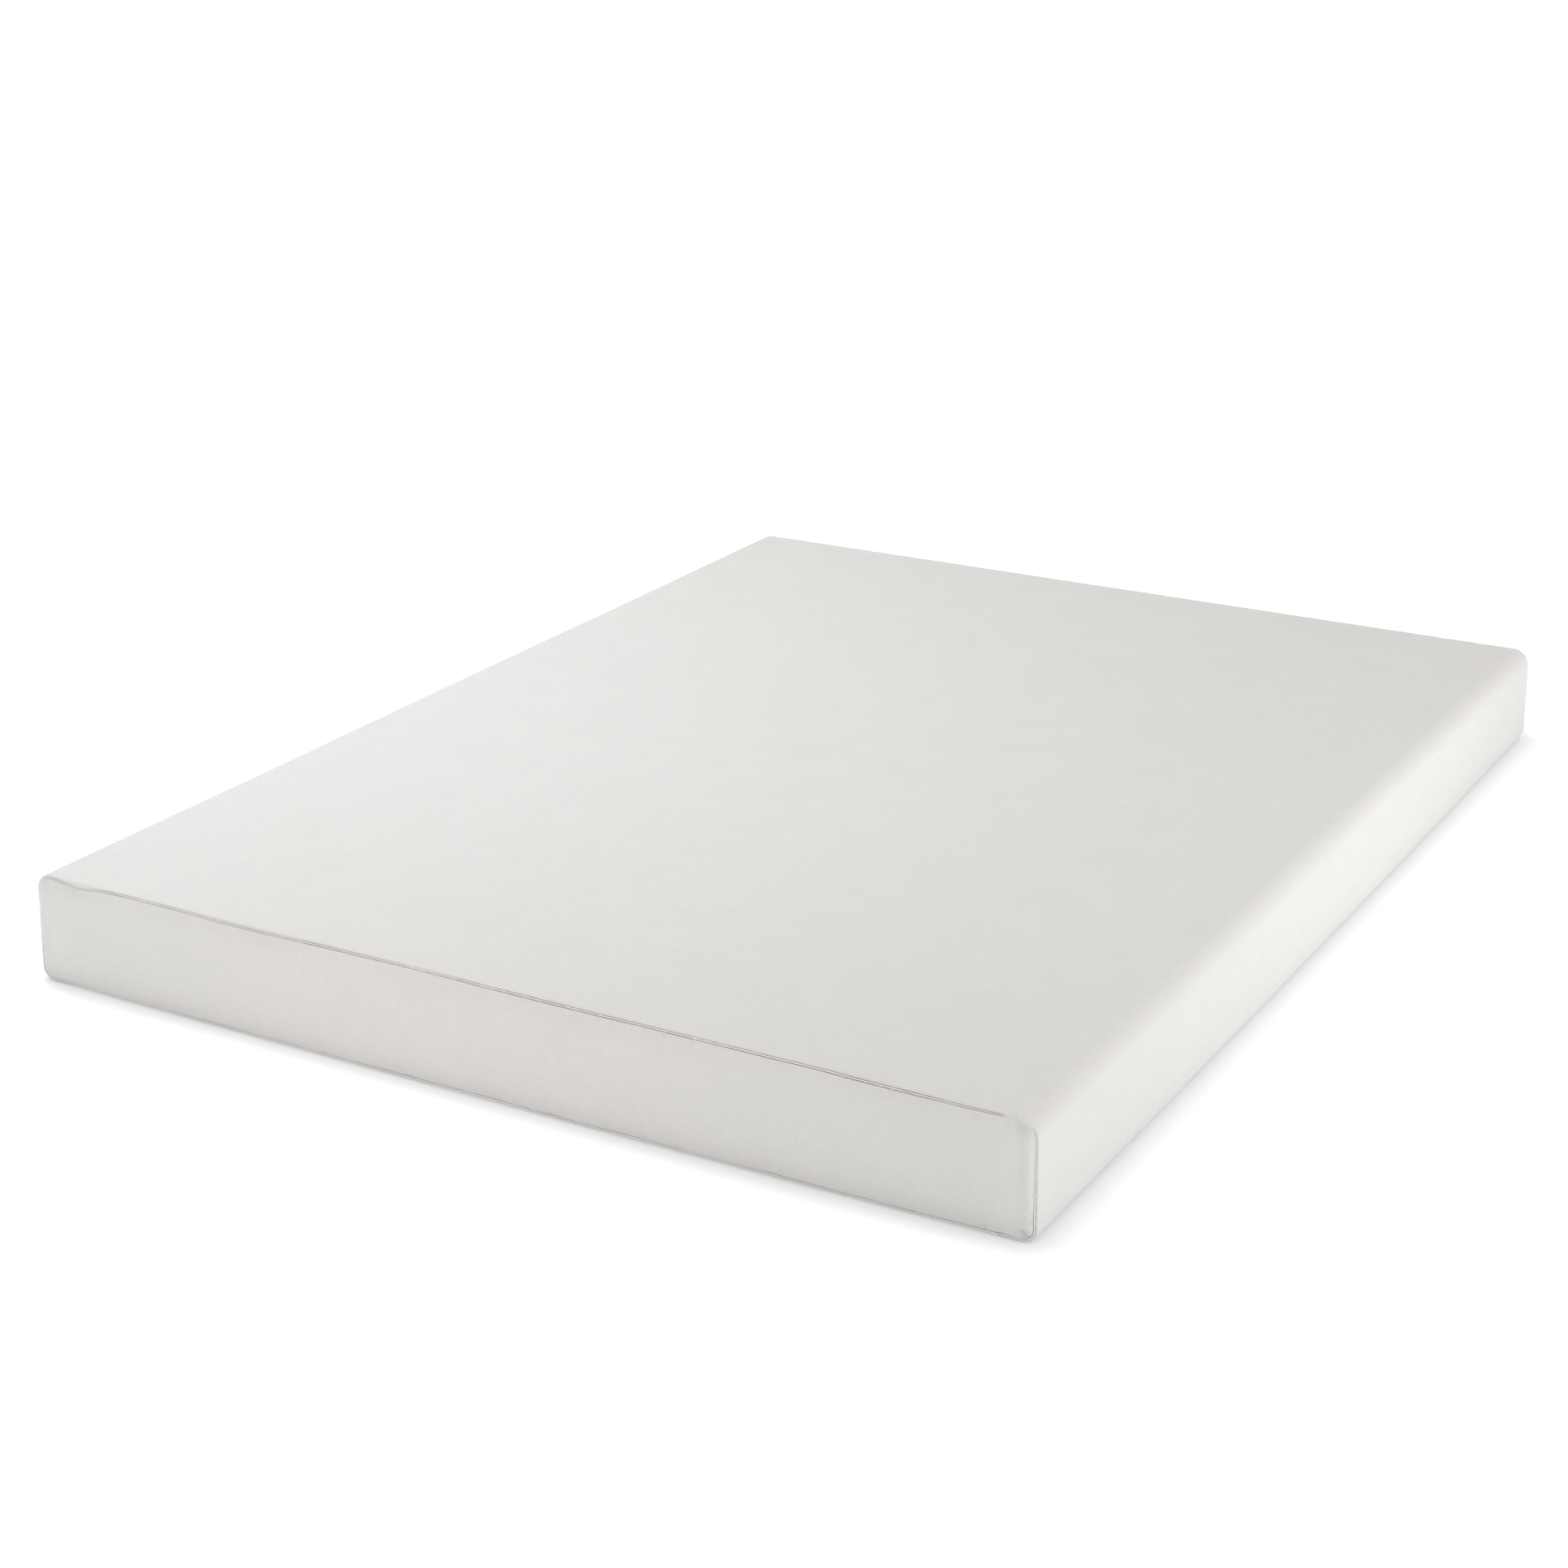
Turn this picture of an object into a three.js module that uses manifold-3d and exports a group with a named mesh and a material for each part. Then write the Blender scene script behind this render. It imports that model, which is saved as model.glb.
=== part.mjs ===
// A queen memory foam mattress: two foam layers in a fire sock, inside a sewn knitted cover.
// Millimetres. Origin: bottom centre of the cover. +X across the width, +Y towards the head end, +Z up.
// The cover is a wrap (top and long sides), a flat panel at each end and a bottom panel.
// A coil zip runs across the head end panel, with its slider parked at the closed end.

import * as THREE from "three";
import { mergeVertices } from "three/addons/utils/BufferGeometryUtils.js";
import Module from "manifold-3d";

const wasm = await Module();
wasm.setup();

// ---------------------------------------------------------------- driving dimensions

// Foam core
const FOAM_WIDTH = 1524;
const FOAM_LENGTH = 2032;
const COMFORT_THICKNESS = 50.8;
const BASE_THICKNESS = 101.6;
const FILM_THICKNESS = 0.5;

// Textiles
const SOCK_THICKNESS = 0.8;
const COVER_THICKNESS = 2.0;
const TAPE_THICKNESS = 0.6;
const LABEL_THICKNESS = 0.4;

// Rounding of the four long edges of the cover, and how far the wrap turns under
const TOP_EDGE_RADIUS = 26;
const BOTTOM_EDGE_RADIUS = 18;
const TURN_UNDER = 30;
const BOTTOM_SEAM_WIDTH = 6;

// Clearance between pieces that touch
const GAP = 0.3;

// Zip
const ZIP_HEIGHT = 30; // centre line above the floor
const ZIP_END_MARGIN = 60; // from the long side of the cover to the slot's end
const COIL_WIDTH = 2.4; // one half
const COIL_THICKNESS = 2.0;
const TAPE_SPACING = 1.2; // between the two tape edges, where the coils mesh
const TAPE_BEHIND_PANEL = 8; // sewn behind the panel's edge
const TAPE_PAST_SLOT = 10;
const STOP_LENGTH = 3;

// Zip slider
const SLIDER_LENGTH = 13;
const SLIDER_PLATE = 1.2; // front plate
const SLIDER_BACK_PLATE = 1.0;
const SLIDER_FLANGE = 1.0;
const SLIDER_POST = 0.6; // the wedge between the two coils
const SLIDER_POST_LENGTH = 4;
const SLIDER_SLOT_CLEARANCE = 0.7;
const BRIDGE_LENGTH = 9;
const BRIDGE_WIDTH = 1.8;
const BRIDGE_WALL = 1.0;
const BRIDGE_OPENING = 2.0; // height under the bridge, where the tab's bar turns

// Zip pull tab
const TAB_THICKNESS = 1.1;
const TAB_LENGTH = 26; // from its pivot to its tip
const TAB_EYE_WALL = 1.1;
const TAB_EYE_CLEARANCE = 0.4; // beside the bridge
const TAB_TIP_WIDTH = 6.4;
const TAB_HOLE_RADIUS = 1.1;

// Law label, sewn into the head end seam
const LABEL_WIDTH = 80;
const LABEL_LENGTH = 92;
const LABEL_FROM_SIDE = 130;
const LABEL_BELOW_TOP = 1;

const ARC_DIVISIONS = 4; // each quarter turn becomes twice as many facets

// ---------------------------------------------------------------- sizes that follow

const sockInset = COVER_THICKNESS + GAP;
const foamInset = sockInset + SOCK_THICKNESS + GAP;

const foamStack = BASE_THICKNESS + GAP + FILM_THICKNESS + GAP + COMFORT_THICKNESS;
const coverHeight = foamStack + 2 * foamInset;
const coverHalfWidth = FOAM_WIDTH / 2 + foamInset;

// Depths behind the outer face of the head end panel
const tapeFront = COVER_THICKNESS + GAP;
const tapeBack = tapeFront + TAPE_THICKNESS;
const sliderBackFront = tapeBack + GAP;
const sliderBackBack = sliderBackFront + SLIDER_BACK_PLATE;
const headSockInset = sliderBackBack + GAP;

// The cover is centred on the origin; the core sits nearer the foot end by the zip's depth.
const footSockAllowance = sockInset + SOCK_THICKNESS + GAP;
const headSockAllowance = headSockInset + SOCK_THICKNESS + GAP;
const coverLength = FOAM_LENGTH + footSockAllowance + headSockAllowance;
const footFace = -coverLength / 2;
const headFace = coverLength / 2;
const foamFoot = footFace + footSockAllowance;
const foamHead = headFace - headSockAllowance;

const coverFoot = footFace + sockInset; // the wrap and bottom panel run between the end seams
const coverHead = headFace - sockInset;

const wrapTuckEdge = coverHalfWidth - BOTTOM_EDGE_RADIUS - TURN_UNDER;
const bottomSeamOuter = wrapTuckEdge - GAP;
const bottomPanelHalf = bottomSeamOuter - BOTTOM_SEAM_WIDTH - GAP;

const coilEdge = TAPE_SPACING / 2; // from the zip's centre line to a coil's inner edge
const coilOuter = coilEdge + COIL_WIDTH;
const flangeInner = coilOuter + GAP;
const flangeOuter = flangeInner + SLIDER_FLANGE;
const slotHalfHeight = flangeOuter + SLIDER_SLOT_CLEARANCE;
const slotHalfLength = coverHalfWidth - ZIP_END_MARGIN;
const stopOuter = slotHalfLength - GAP;
const stopInner = stopOuter - STOP_LENGTH;
const coilHalfLength = stopInner - GAP;
const coilFront = tapeFront - GAP - COIL_THICKNESS; // depth of the coil's outer face
const sliderX = coilHalfLength - SLIDER_LENGTH / 2; // the slider's centre when the zip is closed

const plateBase = headFace + GAP;
const plateTop = plateBase + SLIDER_PLATE;
const pivotY = plateTop + BRIDGE_OPENING / 2;

// ---------------------------------------------------------------- materials

const finish = (color, roughness, metalness = 0) =>
  new THREE.MeshStandardMaterial({ color, roughness, metalness });

const materials = {
  knit: () => finish(0xefedea, 0.92),
  baseCloth: () => finish(0xe6e4e0, 0.95),
  thread: () => finish(0xe2dfdb, 0.85),
  tape: () => finish(0xebe9e6, 0.9),
  coil: () => finish(0xf2f1ee, 0.45),
  zipMetal: () => finish(0xb9bbbd, 0.32, 0.9),
  label: () => finish(0xf7f7f5, 0.8),
  sock: () => finish(0xdcd8cf, 0.95),
  comfortFoam: () => finish(0xf4efdf, 0.9),
  film: () => finish(0xf3e9c9, 0.5),
  baseFoam: () => finish(0xf1f1ee, 0.9),
};

// ---------------------------------------------------------------- geometry helpers

const QUARTER = Math.PI / 2;

// Extrudes an outline drawn in X and Z from yStart to yEnd.
function extrudeAlongY(shape, yStart, yEnd) {
  const depth = yEnd - yStart;
  const geometry = new THREE.ExtrudeGeometry(shape, {
    depth,
    bevelEnabled: false,
    curveSegments: ARC_DIVISIONS,
  });
  geometry.rotateX(QUARTER);
  geometry.translate(0, yEnd, 0);
  return geometry;
}

// Extrudes an outline drawn in X and Y from zStart to zEnd.
function extrudeAlongZ(shape, zStart, zEnd) {
  const geometry = new THREE.ExtrudeGeometry(shape, {
    depth: zEnd - zStart,
    bevelEnabled: false,
    curveSegments: ARC_DIVISIONS,
  });
  geometry.translate(0, 0, zStart);
  return geometry;
}

// A box between two corners.
function boxBetween(low, high) {
  const size = high.map((value, axis) => value - low[axis]);
  const centre = high.map((value, axis) => (value + low[axis]) / 2);
  const geometry = new THREE.BoxGeometry(...size);
  geometry.translate(...centre);
  return geometry;
}

function toSolid(geometry) {
  const bare = geometry.clone();
  bare.deleteAttribute("normal");
  bare.deleteAttribute("uv");
  const merged = mergeVertices(bare, 1e-4);
  return new wasm.Manifold(
    new wasm.Mesh({
      numProp: 3,
      vertProperties: merged.attributes.position.array,
      triVerts: new Uint32Array(merged.index.array),
    }),
  );
}

function joined(geometries) {
  const solid = geometries.map(toSolid).reduce((whole, piece) => whole.add(piece));
  const mesh = solid.getMesh();
  const geometry = new THREE.BufferGeometry();
  geometry.setAttribute("position", new THREE.BufferAttribute(mesh.vertProperties, 3));
  geometry.setIndex(new THREE.BufferAttribute(mesh.triVerts, 1));
  return geometry;
}

const mattress = new THREE.Group();

function addPiece(name, geometry, material) {
  const mesh = new THREE.Mesh(geometry, material());
  mesh.name = name;
  mattress.add(mesh);
  return mesh;
}

// ---------------------------------------------------------------- outlines of the cover

// The cover's cross-section, taken in by inset on every side, between two heights.
function sectionPath(path, inset, low = 0, high = coverHeight) {
  const half = coverHalfWidth - inset;
  const top = Math.max(TOP_EDGE_RADIUS - inset, 0);
  const bottom = Math.max(BOTTOM_EDGE_RADIUS - inset, 0);
  const hasBottomArcs = low === 0;
  const hasTopArcs = high === coverHeight;
  const floor = hasBottomArcs ? inset : low;
  const ceiling = hasTopArcs ? coverHeight - inset : high;
  if (hasBottomArcs) {
    path.moveTo(half - bottom, floor);
    path.absarc(half - bottom, floor + bottom, bottom, -QUARTER, 0, false);
  } else {
    path.moveTo(half, floor);
  }
  if (hasTopArcs) {
    path.absarc(half - top, ceiling - top, top, 0, QUARTER, false);
    path.absarc(-half + top, ceiling - top, top, QUARTER, 2 * QUARTER, false);
  } else {
    path.lineTo(half, ceiling);
    path.lineTo(-half, ceiling);
  }
  if (hasBottomArcs) {
    path.absarc(-half + bottom, floor + bottom, bottom, 2 * QUARTER, 3 * QUARTER, false);
  } else {
    path.lineTo(-half, floor);
  }
  return path;
}

const section = (inset, low, high) => sectionPath(new THREE.Shape(), inset, low, high);

// A band that follows the cross-section, from one inset to a deeper one.
function sectionBand(outerInset, innerInset) {
  const shape = section(outerInset);
  shape.holes.push(sectionPath(new THREE.Path(), innerInset));
  return shape;
}

// The wrap's cross-section: over the top, down both sides and a short way under.
function wrapOutline() {
  const half = coverHalfWidth;
  const top = TOP_EDGE_RADIUS;
  const bottom = BOTTOM_EDGE_RADIUS;
  const wall = COVER_THICKNESS;
  const topCentre = coverHeight - top;
  const shape = new THREE.Shape();
  shape.moveTo(wrapTuckEdge, 0);
  shape.absarc(half - bottom, bottom, bottom, -QUARTER, 0, false);
  shape.absarc(half - top, topCentre, top, 0, QUARTER, false);
  shape.absarc(-half + top, topCentre, top, QUARTER, 2 * QUARTER, false);
  shape.absarc(-half + bottom, bottom, bottom, 2 * QUARTER, 3 * QUARTER, false);
  shape.lineTo(-wrapTuckEdge, 0);
  shape.lineTo(-wrapTuckEdge, wall);
  shape.absarc(-half + bottom, bottom, bottom - wall, 3 * QUARTER, 2 * QUARTER, true);
  shape.absarc(-half + top, topCentre, top - wall, 2 * QUARTER, QUARTER, true);
  shape.absarc(half - top, topCentre, top - wall, QUARTER, 0, true);
  shape.absarc(half - bottom, bottom, bottom - wall, 0, -QUARTER, true);
  shape.lineTo(wrapTuckEdge, wall);
  return shape;
}

// The head end panel above the zip, with the slot's upper half cut from its lower edge.
function headUpperOutline() {
  const half = coverHalfWidth - sockInset;
  const top = TOP_EDGE_RADIUS - sockInset;
  const ceiling = coverHeight - sockInset;
  const join = ZIP_HEIGHT + GAP / 2;
  const slot = ZIP_HEIGHT + slotHalfHeight;
  const shape = new THREE.Shape();
  shape.moveTo(half, join);
  shape.absarc(half - top, ceiling - top, top, 0, QUARTER, false);
  shape.absarc(-half + top, ceiling - top, top, QUARTER, 2 * QUARTER, false);
  shape.lineTo(-half, join);
  shape.lineTo(-slotHalfLength, join);
  shape.lineTo(-slotHalfLength, slot);
  shape.lineTo(slotHalfLength, slot);
  shape.lineTo(slotHalfLength, join);
  return shape;
}

// The head end strip below the zip, with the slot's lower half cut from its upper edge.
function headLowerOutline() {
  const half = coverHalfWidth - sockInset;
  const bottom = BOTTOM_EDGE_RADIUS - sockInset;
  const floor = sockInset;
  const join = ZIP_HEIGHT - GAP / 2;
  const slot = ZIP_HEIGHT - slotHalfHeight;
  const shape = new THREE.Shape();
  shape.moveTo(half - bottom, floor);
  shape.absarc(half - bottom, floor + bottom, bottom, -QUARTER, 0, false);
  shape.lineTo(half, join);
  shape.lineTo(slotHalfLength, join);
  shape.lineTo(slotHalfLength, slot);
  shape.lineTo(-slotHalfLength, slot);
  shape.lineTo(-slotHalfLength, join);
  shape.lineTo(-half, join);
  shape.absarc(-half + bottom, floor + bottom, bottom, 2 * QUARTER, 3 * QUARTER, false);
  return shape;
}

// ---------------------------------------------------------------- cover

function addCover() {
  addPiece("cover_wrap", extrudeAlongY(wrapOutline(), coverFoot, coverHead), materials.knit);

  const footPanel = extrudeAlongY(section(sockInset), footFace, footFace + COVER_THICKNESS);
  addPiece("cover_foot_panel", footPanel, materials.knit);

  const headInner = headFace - COVER_THICKNESS;
  const headUpper = extrudeAlongY(headUpperOutline(), headInner, headFace);
  addPiece("cover_head_panel_upper", headUpper, materials.knit);
  const headLower = extrudeAlongY(headLowerOutline(), headInner, headFace);
  addPiece("cover_head_panel_lower", headLower, materials.knit);

  const seam = sectionBand(0, COVER_THICKNESS);
  const footSeam = extrudeAlongY(seam, footFace, footFace + COVER_THICKNESS);
  addPiece("foot_end_seam", footSeam, materials.thread);
  const headSeam = extrudeAlongY(seam, headInner, headFace);
  addPiece("head_end_seam", headSeam, materials.thread);

  const bottomPanel = boxBetween(
    [-bottomPanelHalf, coverFoot, 0],
    [bottomPanelHalf, coverHead, COVER_THICKNESS],
  );
  addPiece("cover_bottom_panel", bottomPanel, materials.baseCloth);
  for (const [side, sign] of [["left", -1], ["right", 1]]) {
    const edges = [sign * bottomSeamOuter, sign * (bottomSeamOuter - BOTTOM_SEAM_WIDTH)];
    const seamStrip = boxBetween(
      [Math.min(...edges), coverFoot, 0],
      [Math.max(...edges), coverHead, COVER_THICKNESS],
    );
    addPiece(`bottom_seam_${side}`, seamStrip, materials.thread);
  }
}

// ---------------------------------------------------------------- core

function addCore() {
  const sleeve = sectionBand(sockInset, sockInset + SOCK_THICKNESS);
  addPiece("fire_sock_sleeve", extrudeAlongY(sleeve, foamFoot, foamHead), materials.sock);
  const footClosure = extrudeAlongY(
    section(sockInset),
    footFace + sockInset,
    footFace + sockInset + SOCK_THICKNESS,
  );
  addPiece("fire_sock_foot_closure", footClosure, materials.sock);
  const headClosure = extrudeAlongY(
    section(sockInset),
    headFace - headSockInset - SOCK_THICKNESS,
    headFace - headSockInset,
  );
  addPiece("fire_sock_head_closure", headClosure, materials.sock);

  const baseTop = foamInset + BASE_THICKNESS;
  const filmBottom = baseTop + GAP;
  const filmTop = filmBottom + FILM_THICKNESS;
  const comfortBottom = filmTop + GAP;
  const base = extrudeAlongY(section(foamInset, 0, baseTop), foamFoot, foamHead);
  addPiece("base_foam_layer", base, materials.baseFoam);
  const film = extrudeAlongY(section(foamInset, filmBottom, filmTop), foamFoot, foamHead);
  addPiece("adhesive_film", film, materials.film);
  const comfort = section(foamInset, comfortBottom, coverHeight);
  addPiece("memory_foam_layer", extrudeAlongY(comfort, foamFoot, foamHead), materials.comfortFoam);
}

// ---------------------------------------------------------------- zip

// Depths on the zip are measured inwards from the head end panel's outer face.
const atDepth = (depth) => headFace - depth;

// A box on the zip: X range, signed distance above the centre line, and depth.
function zipBox(x, rise, depth) {
  return boxBetween(
    [x[0], atDepth(depth[1]), ZIP_HEIGHT + rise[0]],
    [x[1], atDepth(depth[0]), ZIP_HEIGHT + rise[1]],
  );
}

// One coil half: a bar with chamfered edges, its section drawn in Z and Y.
function coilBar(sign) {
  const chamfer = COIL_THICKNESS / 4;
  const inner = coilEdge;
  const outer = coilOuter;
  const front = coilFront;
  const back = coilFront + COIL_THICKNESS;
  const corners = [
    [inner + chamfer, back],
    [outer - chamfer, back],
    [outer, back - chamfer],
    [outer, front + chamfer],
    [outer - chamfer, front],
    [inner + chamfer, front],
    [inner, front + chamfer],
    [inner, back - chamfer],
  ];
  const points = corners.map(([rise, depth]) => new THREE.Vector2(atDepth(depth), sign * rise));
  const geometry = new THREE.ExtrudeGeometry(new THREE.Shape(points), {
    depth: 2 * coilHalfLength,
    bevelEnabled: false,
  });
  // Local X, Y and Z become world Y, Z and X.
  geometry.applyMatrix4(new THREE.Matrix4().set(0, 0, 1, 0, 1, 0, 0, 0, 0, 1, 0, 0, 0, 0, 0, 1));
  geometry.translate(-coilHalfLength, 0, ZIP_HEIGHT);
  return geometry;
}

function addZipTrack() {
  const tapeHalfLength = slotHalfLength + TAPE_PAST_SLOT;
  const tapeReach = slotHalfHeight + TAPE_BEHIND_PANEL;
  const along = [-tapeHalfLength, tapeHalfLength];
  const depth = [tapeFront, tapeBack];
  const upperTape = zipBox(along, [coilEdge, tapeReach], depth);
  addPiece("zip_tape_upper", upperTape, materials.tape);
  const lowerTape = zipBox(along, [-tapeReach, -coilEdge], depth);
  addPiece("zip_tape_lower", lowerTape, materials.tape);
  addPiece("zip_coil_upper", coilBar(1), materials.coil);
  addPiece("zip_coil_lower", coilBar(-1), materials.coil);

  const stopDepth = [coilFront, coilFront + COIL_THICKNESS];
  const stopRise = [-flangeOuter, flangeOuter];
  const closedStop = zipBox([stopInner, stopOuter], stopRise, stopDepth);
  addPiece("zip_stop_closed_end", closedStop, materials.zipMetal);
  const openStop = zipBox([-stopOuter, -stopInner], stopRise, stopDepth);
  addPiece("zip_stop_open_end", openStop, materials.zipMetal);
}

// The slider's front plate: full at the shoulders, narrower at the tail.
function sliderPlateOutline() {
  const nose = SLIDER_LENGTH / 2;
  const wide = flangeOuter;
  const waist = flangeInner + SLIDER_FLANGE / 2;
  const corner = 1.2;
  const shape = new THREE.Shape();
  shape.moveTo(nose - corner, -wide);
  shape.lineTo(nose, -wide + corner);
  shape.lineTo(nose, wide - corner);
  shape.lineTo(nose - corner, wide);
  shape.lineTo(0, wide);
  shape.lineTo(-nose + corner, waist);
  shape.lineTo(-nose, waist - corner);
  shape.lineTo(-nose, -waist + corner);
  shape.lineTo(-nose + corner, -waist);
  shape.lineTo(0, -wide);
  return shape;
}

// The bridge that holds the pull tab: an arch drawn in X and Y, foot on the front plate.
function bridgeOutline() {
  const half = BRIDGE_LENGTH / 2;
  const foot = plateTop - SLIDER_PLATE / 2;
  const ceiling = plateTop + BRIDGE_OPENING;
  const crown = ceiling + BRIDGE_WALL;
  const shape = new THREE.Shape();
  shape.moveTo(half, foot);
  shape.absarc(half - BRIDGE_WALL, crown - BRIDGE_WALL, BRIDGE_WALL, 0, QUARTER, false);
  shape.absarc(-half + BRIDGE_WALL, crown - BRIDGE_WALL, BRIDGE_WALL, QUARTER, 2 * QUARTER, false);
  shape.lineTo(-half, foot);
  shape.lineTo(-half + BRIDGE_WALL, foot);
  shape.lineTo(-half + BRIDGE_WALL, ceiling);
  shape.lineTo(half - BRIDGE_WALL, ceiling);
  shape.lineTo(half - BRIDGE_WALL, foot);
  return shape;
}

function addSlider() {
  const half = SLIDER_LENGTH / 2;
  const plate = extrudeAlongY(sliderPlateOutline(), plateBase, plateTop);
  plate.translate(0, 0, ZIP_HEIGHT);
  const flangeLength = [0, half - 1.2];
  const flangeDepth = [-GAP - SLIDER_PLATE / 2, tapeFront - GAP];
  const postDepth = [-GAP - SLIDER_PLATE / 2, sliderBackBack - SLIDER_BACK_PLATE / 2];
  const bridge = extrudeAlongZ(bridgeOutline(), -BRIDGE_WIDTH / 2, BRIDGE_WIDTH / 2);
  bridge.translate(0, 0, ZIP_HEIGHT);
  const slider = joined([
    plate,
    zipBox(flangeLength, [flangeInner, flangeOuter], flangeDepth),
    zipBox(flangeLength, [-flangeOuter, -flangeInner], flangeDepth),
    zipBox([-half, -half + SLIDER_POST_LENGTH], [-SLIDER_POST / 2, SLIDER_POST / 2], postDepth),
    zipBox([-half, half], [-flangeInner, flangeInner], [sliderBackFront, sliderBackBack]),
    bridge,
  ]);
  slider.translate(sliderX, 0, 0);
  addPiece("zip_slider", slider, materials.zipMetal);
}

// The tab lies along -X from its pivot. Its eye goes round the bridge.
function tabOutline() {
  const bar = TAB_THICKNESS / 2;
  const eyeHalf = BRIDGE_WIDTH / 2 + TAB_EYE_CLEARANCE;
  const side = eyeHalf + TAB_EYE_WALL;
  const eyeEnd = Math.hypot(BRIDGE_LENGTH / 2, BRIDGE_OPENING / 2 + BRIDGE_WALL) + 2 * GAP;
  const shoulder = eyeEnd + TAB_EYE_WALL;
  const tip = TAB_TIP_WIDTH / 2;
  const shape = new THREE.Shape();
  shape.moveTo(bar, -side);
  shape.lineTo(bar, side);
  shape.lineTo(-shoulder, side);
  shape.lineTo(-TAB_LENGTH + tip, tip);
  shape.absarc(-TAB_LENGTH + tip, 0, tip, QUARTER, 3 * QUARTER, false);
  shape.lineTo(-shoulder, -side);
  const eye = new THREE.Path();
  eye.moveTo(-bar, -eyeHalf);
  eye.lineTo(-bar, eyeHalf);
  eye.lineTo(-eyeEnd, eyeHalf);
  eye.lineTo(-eyeEnd, -eyeHalf);
  shape.holes.push(eye);
  const hole = new THREE.Path();
  hole.absarc(-TAB_LENGTH + tip, 0, TAB_HOLE_RADIUS, 0, 4 * QUARTER, false);
  shape.holes.push(hole);
  return shape;
}

function addPullTab() {
  const tab = extrudeAlongY(tabOutline(), pivotY - TAB_THICKNESS / 2, pivotY + TAB_THICKNESS / 2);
  tab.translate(sliderX, 0, ZIP_HEIGHT);
  addPiece("zip_pull_tab", tab, materials.zipMetal);
}

// ---------------------------------------------------------------- label

function addLabel() {
  const right = -coverHalfWidth + LABEL_FROM_SIDE + LABEL_WIDTH;
  const top = coverHeight - LABEL_BELOW_TOP;
  const label = boxBetween(
    [right - LABEL_WIDTH, headFace + GAP, top - LABEL_LENGTH],
    [right, headFace + GAP + LABEL_THICKNESS, top],
  );
  addPiece("law_label", label, materials.label);
}

addCover();
addCore();
addZipTrack();
addSlider();
addPullTab();
addLabel();

export default mattress;
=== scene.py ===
"""Looks of a queen memory foam mattress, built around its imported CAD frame.

Metres, +X across the width, +Y towards the head end, +Z up, origin at the bottom centre of the cover.
"""

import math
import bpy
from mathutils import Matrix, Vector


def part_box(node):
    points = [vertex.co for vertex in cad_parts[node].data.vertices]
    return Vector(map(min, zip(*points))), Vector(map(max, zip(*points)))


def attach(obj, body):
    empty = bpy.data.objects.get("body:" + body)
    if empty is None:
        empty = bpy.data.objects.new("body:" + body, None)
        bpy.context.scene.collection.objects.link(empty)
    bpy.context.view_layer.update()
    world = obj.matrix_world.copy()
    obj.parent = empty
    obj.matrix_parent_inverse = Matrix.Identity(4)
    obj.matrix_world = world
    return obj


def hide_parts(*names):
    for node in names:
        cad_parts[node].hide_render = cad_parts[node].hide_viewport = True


bl_info = {
    "name": "Memory Foam Mattress",
    "version": (1, 0, 0),
    "blender": (4, 5, 0),
    "location": "View3D > Sidebar > Mattress",
    "description": "Builds the cover, seams, zip, label, fire sock and foam core of a queen mattress",
    "category": "Object",
}

from types import SimpleNamespace

import bmesh
import bpy
import numpy as np
from mathutils import Matrix, Vector

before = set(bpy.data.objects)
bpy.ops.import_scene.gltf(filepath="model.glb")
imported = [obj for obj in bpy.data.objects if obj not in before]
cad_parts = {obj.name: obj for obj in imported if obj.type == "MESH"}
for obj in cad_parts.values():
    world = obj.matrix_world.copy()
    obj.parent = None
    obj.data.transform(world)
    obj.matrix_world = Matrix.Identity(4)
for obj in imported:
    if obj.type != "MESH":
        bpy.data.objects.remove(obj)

MM = 0.001
QUARTER = math.pi / 2

# ---------------------------------------------------------------- places from the frame

WRAP_LOW, WRAP_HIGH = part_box("cover_wrap")
FOOT_LOW, FOOT_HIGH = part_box("cover_foot_panel")
HEAD_LOW, HEAD_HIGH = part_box("cover_head_panel_upper")
BOTTOM_LOW, BOTTOM_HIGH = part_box("cover_bottom_panel")
BOTTOM_SEAM_LOW, BOTTOM_SEAM_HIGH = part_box("bottom_seam_right")
SOCK_LOW, SOCK_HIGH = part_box("fire_sock_sleeve")
TAPE_LOW, TAPE_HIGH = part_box("zip_tape_upper")
SLIDER_LOW, SLIDER_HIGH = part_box("zip_slider")
TAB_LOW, TAB_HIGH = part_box("zip_pull_tab")
LABEL_LOW, LABEL_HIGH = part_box("law_label")

HALF_WIDTH = WRAP_HIGH.x
HEIGHT = WRAP_HIGH.z
FOOT_FACE = -FOOT_LOW.y  # distance of each end's outer face from the middle of the length
HEAD_FACE = HEAD_HIGH.y
CLOTH = FOOT_HIGH.y - FOOT_LOW.y
TUCK = BOTTOM_SEAM_HIGH.x + BOTTOM_SEAM_LOW.x - BOTTOM_HIGH.x  # X where the turned-under wrap ends
CORE_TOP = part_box("memory_foam_layer")[1].z
CORE_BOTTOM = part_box("base_foam_layer")[0].z
ZIP_HEIGHT = (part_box("zip_coil_upper")[0].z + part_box("zip_coil_lower")[1].z) / 2
ZIP_JOIN = HEAD_LOW.z  # lower edge of the upper head panel beside the zip
SLOT_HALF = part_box("zip_stop_closed_end")[1].x + 0.3 * MM  # half the length of the slot round the zip
HEAD_SLOT = ZIP_HEIGHT + 5 * MM  # upper edge of that slot
FOOT, HEAD = -1, 1  # the two ends, as signs of Y


# ---------------------------------------------------------------- sizes and colours a user would change


def length(label, text, default, **limits):
    return bpy.props.FloatProperty(
        name=label, description=text, default=default, unit="LENGTH", precision=5, **limits
    )


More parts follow.
